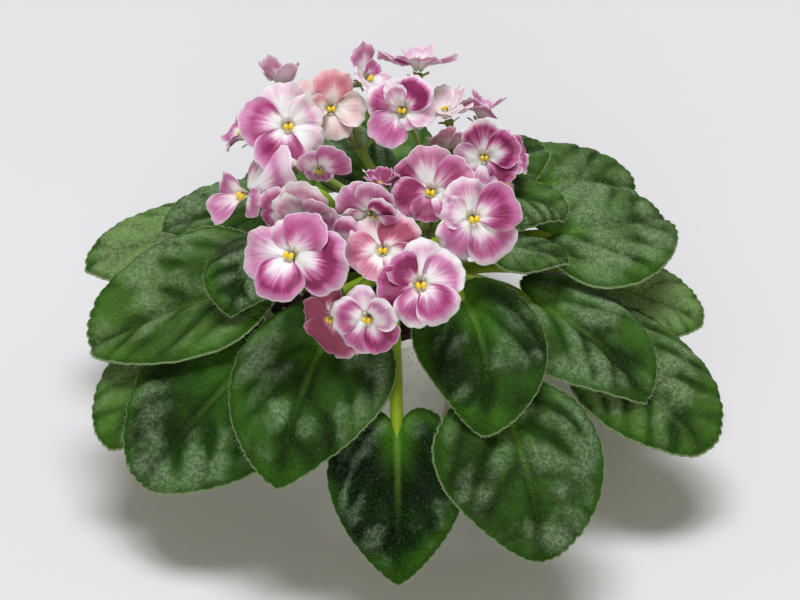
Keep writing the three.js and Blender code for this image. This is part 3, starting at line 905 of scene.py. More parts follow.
# Leaves whose tips would sink into the leaf below, and how far each is held up. It starts to rise and is
# fully up at these lengths from the root, counted in stalks.
HELD_UP = {"leaf_middle_right_front": 1.9, "leaf_inner_right": 1.4}
RISES = (0.4, 1.6)


class Midrib:
    """The line of a leaf's midrib, and the blade's own directions along it."""

    def __init__(self, leaf, held_up=0):
        self.leaf = leaf
        self.held_up = held_up
        self.total = leaf.stalk + leaf.blade
        self.lengths = np.linspace(0, self.total, MIDRIB_STEPS + 1)
        self.azimuth, slope = self.swing(self.lengths)
        self.heading = directions(self.azimuth, slope)
        # The plain model walks in coarser steps, so its line lags by half of one.
        lagging = np.maximum(0, self.lengths - self.total / PLAIN_STEPS / 2)
        walked = directions(*self.swing(lagging))[:-1] * self.total / MIDRIB_STEPS
        root = crown_axis(leaf.z) + ROOT_DEPTH * CROWN_RADIUS * directions(leaf.az, 0)
        self.line = root + np.vstack([np.zeros(3), np.cumsum(walked, axis=0)])

    def swing(self, lengths):
        leaf = self.leaf
        root, base, tip = leaf.slope
        in_stalk = np.minimum(1, lengths / leaf.stalk)
        in_blade = np.maximum(0, (lengths - leaf.stalk) / leaf.blade)
        slope = root + (base - root) * in_stalk + (tip - base) * in_blade
        return leaf.az + leaf.turn * (lengths / self.total) ** SWING, slope

    def at(self, lengths):
        """Position, left and up at some lengths from the root."""
        position = np.stack([np.interp(lengths, self.lengths, c) for c in self.line.T], axis=-1)
        position[..., 2] += self.held_up * soft_step(lengths / self.leaf.stalk, *RISES)
        heading = unit(np.stack([np.interp(lengths, self.lengths, c) for c in self.heading.T], axis=-1))
        level = directions(np.interp(lengths, self.lengths, self.azimuth) + 90, 0)
        share = 2 * np.clip(lengths / self.leaf.stalk - 0.5, 0, 0.5)[..., None]
        roll = np.radians(self.leaf.roll) * share
        left = level * np.cos(roll) + np.cross(heading, level) * np.sin(roll)
        return position, left, np.cross(heading, left)


front_leaf = Midrib(LEAVES["leaf_outer_front"])
print("the front leaf's tip:", front_leaf.line[-1].round(1), "mm")

# %% [markdown]
# ## A leaf's outline
# The blade is heart-shaped, with a notch where the stalk joins and a tip that is blunt or pointed. Its
# edge is scalloped: small round teeth with a nick between them. The half outline is a smooth curve
# through a few points, given as shares of the length and of half the width. The teeth are added to it.

# %% Draw the outline with its teeth
BLUNT = [
    (1, 0), (0.98, 0.24), (0.88, 0.54), (0.7, 0.83), (0.46, 1), (0.2, 0.94), (0.02, 0.6),
    (-0.03, 0.26), (0.07, 0),
]
POINTED = [
    (1, 0), (0.93, 0.15), (0.81, 0.42), (0.65, 0.72), (0.42, 0.97), (0.2, 0.96), (0.02, 0.62),
    (-0.03, 0.26), (0.07, 0),
]
MIDDLE = 0.44
TURNS = 288
TEETH = 46
TOOTH_DEPTH = 0.022
NICK_DEPTH = 0.7
DRIFT = 0.35
SHARPNESS = 0.7
FINE_TEETH = 2.6
FINE_DEPTH = 0.3
NOTCH_ENDS = (0.02, 0.06)


def even_curve(knots):
    """A smooth curve through points in a plane, each bend set by its neighbours."""
    before = np.vstack([knots[:1], knots[:-2]])
    after = np.vstack([knots[2:], knots[-1:]])
    share = np.linspace(0, 1, 20)[None, :, None]
    first = (knots[1:] - before)[:, None] * 0.5
    last = (after - knots[:-1])[:, None] * 0.5
    start, end = knots[:-1, None], knots[1:, None]
    line = (2 * start - 2 * end + first + last) * share**3
    line = line + (-3 * start + 3 * end - 2 * first - last) * share**2 + first * share + start
    return line.reshape(-1, 2)


def leaf_outline(leaf, rng):
    """Points round the blade from the tip, in millimetres along the midrib and across it."""
    knots = np.array(BLUNT) * (1 - leaf.point) + np.array(POINTED) * leaf.point
    half = respaced(even_curve(knots), TURNS // 2 + 1)
    outline = np.vstack([half, half[-2:0:-1] * [1, -1]])
    travelled = np.arange(TURNS) / TURNS
    pace = travelled * TEETH + 0.5 + DRIFT * np.sin(2 * np.pi * (3 * travelled + rng.uniform()))
    nick = 1 - np.abs(np.sin(np.pi * pace)) ** SHARPNESS
    size = 0.7 + 0.3 * np.sin(2 * np.pi * (5 * travelled + rng.uniform()))
    fine = 1 - np.abs(np.sin(np.pi * (FINE_TEETH * pace + rng.uniform()))) ** 0.8
    nick = (nick * size + FINE_DEPTH * fine) * soft_step(np.abs(travelled - 0.5), *NOTCH_ENDS)
    reach = 1 - TOOTH_DEPTH * nick
    outline = [MIDDLE, 0] + (outline - [MIDDLE, 0]) * reach[:, None]
    return outline * [leaf.blade, leaf.width / 2], nick


print("a blade's outline has", TURNS, "points and", TEETH, "teeth")

# %% [markdown]
# ## A leaf's relief
# The skin is quilted. Side veins leave the midrib in pairs and arch towards the tip; they and the midrib
# lie in furrows, and the skin swells into pillows between them. The same formula gives the height of
# the mesh and the veins of the finish, through a mark that counts veins from the base up.

# %% Veins and pillows
VEIN_PITCH = 0.26
VEIN_LEAN = 0.30
VEIN_ARCH = 0.36
PILLOW_HEIGHT = 1.9
CELL = 12
CROSS_SHIFT = 0.37
FURROW_DEPTH = 1.3
FURROW_WIDTH = 2.6
SMOOTH_WITH_AGE = 0.45
ROLLED_RIM = 0.8


def vein_count(along, across):
    """How many side veins have left the midrib below this point. Whole numbers are veins."""
    return (along - VEIN_LEAN * across - VEIN_ARCH * across**2) / VEIN_PITCH + 0.3


def swelling(leaf, along, across, edge, rng):
    """How far the skin swells between veins, 0 to 1. Places are shares, and edge is 1 on the rim."""
    side = np.abs(across)
    from_rib = side * leaf.width / 2
    here = np.stack([along * leaf.blade, across * leaf.width / 2, np.zeros_like(along)], axis=-1)
    count = vein_count(along, side) + 0.12 * ripple(here, 26, rng, 5)
    wave = 0.5 - 0.5 * np.cos(2 * np.pi * count)
    cross = 0.5 - 0.5 * np.cos(2 * np.pi * (from_rib / CELL + CROSS_SHIFT * np.round(count)))
    pillow = (0.45 * wave + 0.55 * np.sqrt(wave)) * (0.8 + 0.2 * cross)
    strength = np.clip(0.7 + 0.5 * ripple(here, 34, rng, 5), 0.15, 1.25)
    pillow = 0.6 + (pillow - 0.6) * strength + 0.10 * ripple(here, 11, rng, 6)
    pillow = pillow * soft_step(from_rib, -1.5, 6) * (1 - 0.4 * soft_step(edge, 0.75, 1))
    return np.clip(pillow, 0, 1.3)


def relief(leaf, swell, along, across, edge):
    """Height over the blade's plain sheet."""
    from_rib = np.abs(across) * leaf.width / 2
    furrow = FURROW_DEPTH * np.exp(-((from_rib / FURROW_WIDTH) ** 2)) * (1 - 0.6 * np.clip(along, 0, 1))
    evenness = 1 - SMOOTH_WITH_AGE * leaf.age
    rolled = ROLLED_RIM * soft_step(edge, 0.84, 1.02)
    return evenness * (PILLOW_HEIGHT * (swell - 0.5) - furrow) - rolled


print("side veins on each half of a blade:", round(1 / VEIN_PITCH))

# %% [markdown]
# The blade's skin is laid out on rings round its middle, and each ring is a smaller copy of the outline.
# The rings crowd near the rim, where the two skins round off and meet.

# %% The rings of a blade and their faces
RINGS = np.concatenate([np.linspace(0.02, 0.965, 42), [0.98, 0.992]])


def blade_faces(bottom):
    """Faces of both skins and of the band between them. The lower skin starts at the point bottom."""
    rows = len(RINGS)
    last, rim_ring = bottom + 1 + (rows - 1) * TURNS, 1 + rows * TURNS
    ring = np.arange(TURNS)
    after = (ring + 1) % TURNS
    return [
        grid_faces(rows + 1, TURNS, closed=True, start=1),
        fan_faces(TURNS, 0, 1, flipped=True),
        grid_faces(rows, TURNS, closed=True, start=bottom + 1)[:, ::-1],
        fan_faces(TURNS, bottom, bottom + 1),
        np.stack([rim_ring + ring, rim_ring + after, last + after, last + ring], axis=1),
    ]


print("rings on each skin of a blade:", len(RINGS) + 1)

# %% [markdown]
# The blade's points are all placed in one go: along the midrib, out to the side, and then up by the
# pillows, the furrows and the fall of the edge. The lower skin is the same sheet, a little further down.

# %% The blade as a closed shell
BLADE_THICKNESS = 1.0
PILLOW = 2.4
EDGE_FALL = 3.2
NICK_FALL = (0.87, 0.99)
RIM_WAVE = 0.45
RIM_WAVE_SIZE = 26
ROUNDED_FROM = 0.965
ROUNDED_WIDTH = 0.035


def leaf_blade(form, leaf, rib, rng):
    """Two skins, sewn together along a rounded rim. Gives back the upper one for its hairs."""
    outline, nick = leaf_outline(leaf, rng)
    middle = np.array([MIDDLE * leaf.blade, 0])
    shares = np.append(RINGS, 1.0)
    flat = middle + (outline - middle)[None] * shares[:, None, None]
    flat = np.concatenate([middle[None], flat.reshape(-1, 2)])
    edge = np.concatenate([[0], np.repeat(shares, TURNS)])
    along, across = flat[:, 0] / leaf.blade, flat[:, 1] / (leaf.width / 2)
    position, left, up = rib.at(leaf.stalk + flat[:, 0])
    far = np.abs(across)
    lift = PILLOW * np.sin(np.pi * np.minimum(far, 1)) - EDGE_FALL * far**2
    lift = lift + leaf.fold * np.abs(flat[:, 1])
    swell = swelling(leaf, along, across, edge, rng)
    lift = lift + relief(leaf, swell, along, across, edge)
    lift[1:] = lift[1:] - (NICK_DEPTH * soft_step(shares, *NICK_FALL)[:, None] * nick).ravel()
    sheet = position + left * flat[:, 1:]
    lift = lift + RIM_WAVE * edge**2 * ripple(sheet, RIM_WAVE_SIZE, rng, 4)
    thin = np.sqrt(1 - np.clip((edge - ROUNDED_FROM) / ROUNDED_WIDTH, 0, 1) ** 2)
    half = 0.5 * BLADE_THICKNESS * thin
    over = sheet + up * (lift + half)[:, None]
    below = (sheet + up * (lift - half)[:, None])[:-TURNS]
    marks = {"along": along, "across": far * leaf.width / 2, "vein": vein_count(along, far)}
    marks = {**marks, "swell": swell, "edge": edge}
    marks = {name: np.concatenate([mark, mark[:-TURNS]]) for name, mark in marks.items()}
    under = np.repeat([0.0, 1.0], [len(over), len(below)])
    form.add(np.concatenate([over, below]), blade_faces(len(over)), 0, under=under, age=leaf.age, **marks)
    return over, up, edge


print("points on a blade:", 2 * (1 + TURNS * len(RINGS)) + TURNS)

# %% [markdown]
# ## A leaf's stalk and its hairs
# The stalk is a round, juicy, yellow-green stem that runs on under the blade as a rib. It is a tube whose
# radius shrinks once it is under the blade.

# %% The stalk and the rib under the blade
STALK_RADIUS = 2.6
STALK_RINGS = 90
STALK_SIDES = 16
STALK_LUMP = 0.12
STALK_HAIRS = 110
STALK_LENGTHS = (0.8, 2.0)
# Rings at either end of the stalk that stay bare.
BARE_ROOT = 8
BARE_TIP = 20
SUNK = 0.22


def leaf_stalk(form, leaf, rib, rng):
    lengths = np.linspace(0, leaf.stalk + 0.9 * leaf.blade, STALK_RINGS)
    in_blade = np.clip((lengths - leaf.stalk) / leaf.blade, 0, 1)
    radii = STALK_RADIUS * (1 - in_blade / 0.95) ** 1.3 * (1 + 0.12 * (1 - lengths / lengths[-1]))
    position, _, up = rib.at(lengths)
    under = np.clip((lengths - leaf.stalk) / (SUNK * leaf.blade) + 0.3, 0, 1)
    drop = 0.75 * radii * under + 2.6 * soft_step(in_blade, 0, 0.12) + 0.4 * soft_step(in_blade, 0.1, 0.4)
    points, faces, out = tube_shell(position - up * drop[:, None], radii, STALK_SIDES)
    skin = out.reshape(-1, 3)
    points[: len(skin)] += skin * (STALK_LUMP * ripple(points[: len(skin)], 9, rng, 4))[:, None]
    along = np.append(np.repeat(lengths / leaf.stalk, STALK_SIDES), [0, 1])
    form.add(points, faces, 1, along=along, age=leaf.age)
    first, last = STALK_SIDES * BARE_ROOT, len(skin) - STALK_SIDES * BARE_TIP
    scatter_hairs(form, points, skin, STALK_HAIRS, STALK_LENGTHS, rng, first, last)


print("a leaf's stalk is", 2 * STALK_RADIUS, "mm thick")

# %% [markdown]
# The fringe of hairs along the rim makes the leaf look soft against the light. Fewer stand on its face,
# and most of those near the rim.

# %% Hairs on the blade
EDGE_HAIRS = 260
EDGE_LENGTHS = (0.6, 1.5)
EDGE_FROM = 0.995
FACE_HAIRS = 240
FACE_LENGTHS = (0.6, 1.3)
FACE_ENDS = (0.1, 0.97)


def leaf_hairs(form, over, up, edge, rng):
    """A fringe along the rim, and hairs on the upper skin that stand thicker towards it."""
    rim = np.flatnonzero(edge > EDGE_FROM)
    picked = rim[rng.integers(0, len(rim), EDGE_HAIRS)]
    middle = over[picked].mean(axis=0)
    outward = unit(over[picked] - middle) + 0.5 * up[picked]
    hair_shells(form, over[picked], unit(outward), rng.uniform(*EDGE_LENGTHS, EDGE_HAIRS), 2, rng)
    inside = np.flatnonzero((edge > FACE_ENDS[0]) & (edge < FACE_ENDS[1]))
    weights = edge[inside] / edge[inside].sum()
    picked = rng.choice(inside, FACE_HAIRS, p=weights)
    hair_shells(form, over[picked], up[picked], rng.uniform(*FACE_LENGTHS, FACE_HAIRS), 2, rng)


print("hairs on a leaf:", EDGE_HAIRS + FACE_HAIRS + STALK_HAIRS)

# %% [markdown]
# ## The leaf finish
# From a step away a leaf is deep green with a grey bloom on it, which is light caught by the down. It is
# painted in layers. The lowest is the green skin: blotched, darkened as painted shade in the furrows,
# more olive the older the leaf is, and darker still as painted shade where its number is below 0.

# %% Green skin
SHADES.update(
    deep_green=(2, 18, 0), young_green=(34, 82, 7), old_green=(66, 108, 32), olive=(106, 144, 64),
    furrow_green=(3, 24, 1),
)


def green_skin(finish, furrow, blots, age):
    young = finish.ramp(blots, (0.38, "deep_green"), (0.72, "young_green"))
    old = finish.ramp(blots, (0.3, "old_green"), (0.7, "olive"))
    # A number below 0 darkens the skin towards deep green: painted shade on a leaf in shadow.
    skin = finish.mix(finish.smooth(0 - age, 0, 0.4) * 0.65, finish.mix(age, young, old), "deep_green")
    # Darker in the furrows between the pillows: painted shade.
    return finish.mix(furrow * 0.6, skin, "furrow_green")


print("shades so far:", len(SHADES))

# %% [markdown]
# Much sheen on the shader would lift the dark furrows too, so most of the grey bloom is painted sheen: a
# painted highlight that gathers on the swells and in soft patches, and breaks up into fine grains.
#
# Over it lie the lines of the leaf. The blade is a fresher green towards its rim, its base and along its
# midrib, and darker just inside the rim, as painted shade where the rim rolls down.

# %% Grey bloom, midrib and rim
SHADES.update(
    young_down=(124, 148, 115), old_down=(130, 154, 102), fresh_green=(64, 112, 14),
    base_green=(80, 138, 22), rib_green=(112, 152, 60), margin_green=(24, 64, 10),
)


# The grey laid over the skin is painted sheen, the light that the down catches.
def add_painted_sheen(finish, skin, painted_sheen, grain, nap, age):
    grey = painted_sheen * (0.25 + 0.5 * finish.smooth(nap, 0.4, 0.62) + 0.35 * finish.smooth(grain, 0.36, 0.64))
    return finish.mix(grey * 0.85, skin, finish.mix(age, "young_down", "old_down"))


def leaf_lines(finish, skin, along, across, edge):
    fresh = finish.smooth(edge + 0.7 * finish.noise(24, 2), 1.08, 1.45)
    skin = finish.mix(fresh * 0.5, skin, "fresh_green")
    base = (1 - finish.smooth(across, 0.5, 11)) * (1 - finish.smooth(along, 0.0, 0.48))
    skin = finish.mix(base * 0.75, skin, "base_green")
    rib = (1 - finish.smooth(across, 0.3, 2.2)) * (1 - finish.smooth(along, 0.05, 0.8))
    skin = finish.mix(rib * 0.5, skin, "rib_green")
    # A band just inside the rim is darkened: painted shade on the rolled-down rim.
    return finish.mix(finish.smooth(edge, 0.90, 0.96) * 0.45, skin, "margin_green")


print("shades with the down and the lines:", len(SHADES))

# %% [markdown]
# Last come the dots at the feet of the hairs, pale of themselves and brighter as painted glints where
# the sheen is painted, and the thin pale line of hairs along the rim, painted as lit. The underside is
# lighter and duller, with veins drawn from the vein mark.

# %% Velvet green
SHADES.update(
    hair_dot=(126, 154, 110), rim_hair=(154, 172, 124), under_green=(128, 148, 96),
    under_pale=(158, 170, 122), under_vein=(168, 178, 132),
)


def leaf_finish():
    finish = Finish(
        "leaf_velvet",
        Sheen_Weight=0.015, Sheen_Roughness=0.35, Sheen_Tint=(0.86, 0.95, 0.84, 1),
        Specular_IOR_Level=0.07, Subsurface_Weight=0.05, Subsurface_Scale=0.002,
        Subsurface_Radius=(0.4, 1.0, 0.2),
    )
    along, across, vein, swell = finish.marks("along", "across", "vein", "swell")
    edge, under, age = finish.marks("edge", "under", "age")
    blots, fold = finish.noise(24, 3), finish.noise(28, 2)
    down, grain, nap = finish.noise(4, 4), finish.noise(0.7, 3), finish.noise(1.7, 4)
    furrow = 1 - finish.smooth(swell, 0.05, 0.6)
    # Where the sheen is painted: on the swells, in soft patches, more on older leaves and less below 0.
    painted_sheen = finish.smooth(0.45 * swell + 2.6 * fold + 0.5 * down + 0.35 * age, 1.68, 2.3)
    skin = add_painted_sheen(finish, green_skin(finish, furrow, blots, age), painted_sheen, grain, nap, age)
    skin = leaf_lines(finish, skin, along, across, edge)
    dots = 1 - finish.smooth(finish.cells(1.1), 0.05, 0.5)
    # Pale dots at the feet of the hairs: partly the hairs' own colour, partly painted glints that grow
    # with the painted sheen.
    skin = finish.mix(dots * (0.1 + 0.22 * painted_sheen), skin, "hair_dot")
    # A thin pale line along the rim: its hairs, with a painted highlight on them.
    skin = finish.mix(finish.smooth(edge + 0.01 * age, 0.978, 0.995) * 0.7, skin, "rim_hair")
    drawn = 1 - finish.smooth(abs((vein * math.pi).sine()), 0.0, 0.3)
    dull = finish.mix(drawn * 0.5, finish.mix(blots, "under_green", "under_pale"), "under_vein")
    normal = finish.bump(grain + 0.5 * dots, 0.5, finish.bump(down + 0.5 * nap, 1.5))
    roughness = 0.34 + 0.24 * grain + 0.08 * furrow
    return finish.wear(Base_Color=finish.mix(under, skin, dull), Roughness=roughness, Normal=normal)


velvet = leaf_finish()
print("nodes in the leaf finish:", len(velvet.node_tree.nodes))

# %% [markdown]
# A stalk has no down to speak of between its hairs. Its yellow-green skin lets some light through, is
# darker near the root, and has small brown specks.

# %% The stalks' finish
SHADES.update(
    stalk_green=(126, 156, 12), stalk_yellow=(158, 184, 38), root_green=(120, 144, 30),
    speck=(70, 56, 26),
)


def stalk_finish():
    finish = Finish(
        "leaf_stalk", Sheen_Weight=0.08, Specular_IOR_Level=0.3,
        Subsurface_Weight=0.08, Subsurface_Scale=0.002, Subsurface_Radius=(0.7, 1.0, 0.1),
    )
    blots = finish.noise(8, 3)
    near_root = 1 - finish.smooth(finish.mark("along"), 0, 0.25)
    colour = finish.mix(near_root, finish.mix(blots, "stalk_green", "stalk_yellow"), "root_green")
    colour = finish.mix(finish.smooth(finish.cells(3.2), 0.0, 0.13), "speck", colour)
    normal = finish.bump(finish.noise(1.2, 3), 0.15)
    return finish.wear(Base_Color=colour, Roughness=0.42 + 0.15 * blots, Normal=normal)


leaf_finishes = [velvet, stalk_finish(), hair]
print("finishes on a leaf:", [finish.name for finish in leaf_finishes])

# %% [markdown]
# Every leaf goes through the same steps with its own row of numbers: midrib, blade, stalk, hairs. One
# generator of random numbers serves them all in turn, so each run grows the same plant.

# %% Grow every leaf
leaf_rng = np.random.default_rng(37)
for leaf_name, leaf in LEAVES.items():
    rib = Midrib(leaf, HELD_UP.get(leaf_name, 0))
    leaf_form = Form()
    skin_points, skin_up, skin_edge = leaf_blade(leaf_form, leaf, rib, leaf_rng)
    leaf_stalk(leaf_form, leaf, rib, leaf_rng)
    leaf_hairs(leaf_form, skin_points, skin_up, skin_edge, leaf_rng)
    leaf_form.make(f"{leaf_name}_grown", leaf_finishes, leaf_name)
print("points in the last leaf:", leaf_form.count)

# %% [markdown]
# ## The flower stalks and blooms
# Eight stalks rise from the crown, fork, and carry three or four blooms each. A bloom is told by where
# its throat is, where its face looks, its radius, how deep it is cupped and how much it waves. No two
# blooms open alike, so each of its petals has a row of its own: the angle round the throat, counted from
# the top to the viewer's left, the length as a share of the radius, how far it leans forward in degrees,
# and how pink it is. Most blooms have five, and fuller ones six or seven. The last number of a bloom is
# how far it has faded to salmon and cream.

# %% One row a bloom
Bloom = namedtuple("Bloom", "at az el radius cup spin wave petals faded")
Spray = namedtuple("Spray", "root fork buds blooms")
Petal = namedtuple("Petal", "angle reach lean pink")


def five(*pinks, top=0.84):
    """Five petals in the usual order: upper left, left, lower lip, right, upper right."""
    return [
        (36, top, 0, pinks[0]), (108, 0.98, 0, pinks[1]), (180, 1.0, 0, pinks[2]),
        (252, 0.98, 0, pinks[3]), (324, top, 0, pinks[4]),
    ]


# A petal's row holds what a Petal does, in the same order.
SPRAYS = {
    "back_left": Spray(150, (-24, 16, 130), (), (
        Bloom((-36, 38, 161), 100, 45, 13, 0.7, 0, 0.06, [
            (24, 0.82, 2, 0.3), (100, 0.72, 14, 0.55), (180, 1.0, 14, 0.4),
            (262, 0.7, 14, 0.6), (318, 0.78, 2, 0.45),
        ], 0.1),
        Bloom((-32, 12, 154), -72, 38, 20, 0.05, 10, 0.05, [
            (-12, 0.96, 4, 0.16), (282, 0.82, 8, 0.2), (214, 0.86, 4, 0.12),
            (64, 1.08, -4, 0.62), (141, 1.12, 0, 0.66),
        ], 0),
        Bloom((-53, 28, 140), 170, 30, 11, 0.15, 0, 0.06, [
            (90, 1.25, 25, 0.4), (160, 1.0, 12, 0.65), (125, 1.15, 18, 0.5),
            (230, 0.9, 6, 0.5), (20, 0.9, -6, 0.4),
        ], 0),
    )),
    "back": Spray(100, (-2, 26, 134), (), (
        Bloom((-14, 28, 153), -80, 40, 15, 0.1, 0, 0.12, [
            (62, 1.28, -6, 0.16), (118, 0.98, 4, 0.42), (188, 0.98, 0, 0.12),
            (258, 1.04, 8, 0.1), (350, 1.16, 2, 0.46), (82, 0.66, 16, 0.3),
        ], 0.85),
        Bloom((2, 40, 161), -30, 40, 13, 0.5, 0, 0.06, [
            (352, 1.15, 4, 0.45), (60, 0.82, 4, 0.2), (300, 0.62, 2, 0.55),
            (110, 0.88, -4, 0.15), (205, 0.62, 8, 0.25),
        ], 0),
        Bloom((24, 46, 164), 90, 50, 18, 0.3, 0, 0.03, [
            (180, 0.86, 34, 0.2), (112, 1.0, 2, 0.5), (246, 1.05, 0, 0.7),
            (52, 0.7, -12, 0.3), (312, 0.74, -12, 0.4),
        ], 0),
    )),
    "back_right": Spray(55, (28, 24, 130), (), (
        Bloom((17, 18, 158), -100, 45, 16, 0.1, 0, 0.06, [
            (60, 1.1, -3, 0.62), (148, 1.14, 2, 0.52), (215, 0.6, 0, 0.28),
            (272, 0.94, 4, 0.22), (322, 1.0, 12, 0.98), (10, 0.9, -6, 0.3),
            (28, 0.62, 26, 0.34),
        ], 0),
        Bloom((36, 30, 150), 120, 55, 14, 0.5, 0, 0.04, [
            (152, 0.8, 38, 0.12), (106, 1.0, 14, 0.25), (210, 0.9, 12, 0.2),
            (20, 1.0, -30, 0.14), (300, 1.3, -30, 0.14),
        ], 0.25),
        Bloom((52, 42, 142), 70, 35, 13, 0.5, 0, 0.08, [
            (186, 0.62, 52, 0.4), (126, 0.7, 40, 0.5), (246, 0.6, 44, 0.6),
            (30, 0.95, -34, 0.36), (325, 0.9, -26, 0.44),
        ], 0),
    )),
    "right": Spray(-10, (41, 7, 124), ((61, -5, 133, 0),), (
        Bloom((52, 6, 142), -90, 35, 14, 0.4, 0, 0.05, [
            (8, 1.16, 4, 0.78), (96, 0.98, 14, 0.36), (170, 1.0, 0, 0.4),
            (228, 1.14, -6, 0.95), (292, 1.12, 0, 0.82),
        ], 0),
        Bloom((64, 22, 134), -10, 40, 12, 0.2, 0, 0.06, five(0.3, 0.4, 0.6, 0.7, 0.3), 0),
        Bloom((38, 16, 141), 100, 30, 12, 0.1, 0, 0.14, five(0.4, 0.44, 0.5, 0.44, 0.4, top=1.1), 0.6),
        Bloom((60, 36, 128), 60, 50, 14, 0.1, 0, 0.08, five(0.5, 0.5, 0.6, 0.6, 0.5), 0),
    )),
    "front_right": Spray(-48, (30, -18, 120), (), (
        Bloom((46, -34, 138), -75, 35, 19, 0.08, 0, 0.05, [
            (14, 0.92, 6, 0.34), (66, 0.74, 8, 0.3), (132, 1.0, 2, 0.5),
            (212, 1.12, -7, 0.6), (286, 1.08, 2, 0.66),
        ], 0),
        Bloom((29, -16, 139), -100, 40, 17, 0.3, 0, 0.05, [
            (66, 1.1, -6, 0.98), (8, 1.16, -4, 0.5), (112, 0.96, 8, 0.9),
            (176, 0.8, 4, 0.95), (300, 1.18, 4, 0.62), (244, 0.92, 0, 0.6),
        ], 0.1),
        Bloom((24, -65, 127), -80, 40, 18.5, 0.08, 0, 0.05, [
            (92, 0.98, 4, 0.98), (36, 0.84, 6, 0.86), (340, 1.02, -4, 0.2),
            (290, 1.04, -2, 0.42), (160, 0.96, -4, 0.6), (212, 1.0, 4, 0.62),
        ], 0),
    )),
    "front": Spray(-92, (10, -24, 117), (), (
        Bloom((4, -36, 141), -95, 0, 14, 0.2, 0, 0.06, [
            (46, 1.18, -2, 0.5), (350, 1.16, -4, 0.46), (315, 0.9, 12, 0.95),
            (110, 0.9, 0, 0.3), (185, 0.7, 0, 0.3), (250, 0.95, 0, 0.6),
        ], 0),
        Bloom((7, -16, 142), 80, 60, 10, 0.3, 0, 0.06, [
            (170, 0.8, 44, 0.95), (114, 0.9, 28, 1.0), (236, 0.8, 30, 0.8),
            (34, 0.7, -10, 0.7), (308, 0.7, -6, 0.75),
        ], 0),
        Bloom((9, -50, 133), -90, 50, 16, 0.1, 0, 0.12, [
            (40, 1.0, -2, 0.22), (322, 1.14, -4, 0.85), (95, 0.98, 6, 0.6),
            (160, 0.92, 6, 0.5), (235, 0.9, 6, 0.6),
        ], 0.5),
        Bloom((3, -74, 117), -105, 20, 15.5, 0.12, 0, 0.06, [
            (32, 0.86, -2, 0.26), (96, 1.0, 3, 0.52), (160, 1.02, -4, 0.6),
            (232, 1.0, 4, 0.86), (300, 0.9, 6, 0.3),
        ], 0),
    )),
    "front_left": Spray(-135, (-13, -33, 111), (), (
        Bloom((-12, -62, 108), -120, 10, 15, 0.1, 0, 0.06, [
            (30, 1.0, -2, 1.2), (100, 0.98, 0, 1.3), (165, 1.16, -4, 1.15),
            (220, 1.24, -4, 1.0), (300, 0.9, 0, 1.0),
        ], 0.4),
        Bloom((-28, -56, 135), -115, 45, 22, 0.05, 0, 0.06, [
            (46, 0.74, 2, 0.3), (100, 1.02, -3, 0.34), (338, 0.9, 6, 0.56),
            (272, 1.14, -4, 0.96), (176, 0.94, 6, 0.86),
        ], 0),
        Bloom((-9, -43, 133), -100, 20, 12, 0.1, 0, 0.06, five(0.5, 0.6, 0.7, 0.6, 0.5, top=1.0), 0),
    )),
    "left": Spray(-170, (-26, -4, 118), ((-30, -4, 144, 1),), (
        Bloom((-22, -31, 134), -110, 0, 14, 0.2, 0, 0.05, [
            (8, 1.45, 0, 0.3), (58, 1.2, 4, 0.26), (318, 1.25, 4, 0.3),
            (130, 0.8, 0, 0.3), (240, 0.9, 0, 0.3),
        ], 0.2),
        Bloom((-50, -6, 131), -150, 15, 18, 0.1, 0, 0.06, [
            (30, 0.9, -24, 0.3), (344, 1.34, -26, 0.42), (270, 0.7, -4, 0.5),
            (98, 0.8, 16, 0.5), (164, 0.76, 34, 0.4),
        ], 0),
        Bloom((-18, -10, 146), -90, 10, 11, 0.4, 0, 0.05, [
            (110, 0.6, 0, 0.3), (180, 0.45, 0, 0.3), (250, 0.6, 0, 0.4),
            (36, 1.0, -4, 0.34), (318, 1.5, 6, 0.5),
        ], 0),
        Bloom((-34, -20, 129), -110, 10, 10, 0.1, 0, 0.05, five(0.6, 0.7, 0.7, 0.6, 0.5, top=1.3), 0.2),
    )),
}
print("blooms:", sum(len(spray.blooms) for spray in SPRAYS.values()))

# %% [markdown]
# ## A petal
# Petals spread from a short tube. Each is round, a little wider than its share of the circle, so that it
# overlaps its neighbours, and each lies a step further forward than the one before it in its bloom's
# row. A petal is laid out on a grid of rows from the throat to the rim, and both faces are kept.

# %% The bloom's own directions
THROAT_DEPTH = 3.0


def bloom_frame(bloom):
    """The way the face looks, and up and side in the plane of the petals."""
    face = directions(bloom.az, bloom.el)
    up = unit(np.array([0, 0, 1.0]) - face * face[2])
    spin = math.radians(bloom.spin)
    up = up * math.cos(spin) + np.cross(face, up) * math.sin(spin)
    return face, up, np.cross(face, up)


print("the lowest bloom looks along", bloom_frame(SPRAYS["front_left"].blooms[0])[0].round(2))

# %% [markdown]
# A petal is first laid out flat. Its rim is an arch with a fine frill and one small notch, and its sides
# run close together near the throat. The six phases are drawn at random, so that no two rims are alike.

# %% A petal pressed flat
PETAL_ROWS = 26
PETAL_COLUMNS = 43
PETAL_SPREAD = 52
CLAW_SPREAD = 0.55
THROAT_RADIUS = 1.3
SHOULDER_REACH = 0.42
ARCH = 2.2
NOTCH_DEPTH = 0.025
NOTCH_WIDTH = 0.02

Flat = namedtuple("Flat", "out columns turn radius sideways long phase")


def petal_rim(columns, phase):
    """How far the rim reaches at each column: the arch, and the frill to multiply it by."""
    arch = SHOULDER_REACH + (1 - SHOULDER_REACH) * np.sqrt(np.maximum(0, 1 - np.abs(columns) ** ARCH))
    frill = 0.013 * np.sin(8 * columns + phase[0]) + 0.014 * np.sin(17 * columns + phase[1])
    frill = frill + 0.007 * np.sin(29 * columns + phase[5])
    notch = NOTCH_DEPTH * np.exp(-((columns - 0.3 * math.sin(phase[2])) ** 2) / NOTCH_WIDTH)
    return arch, 1 + frill - notch


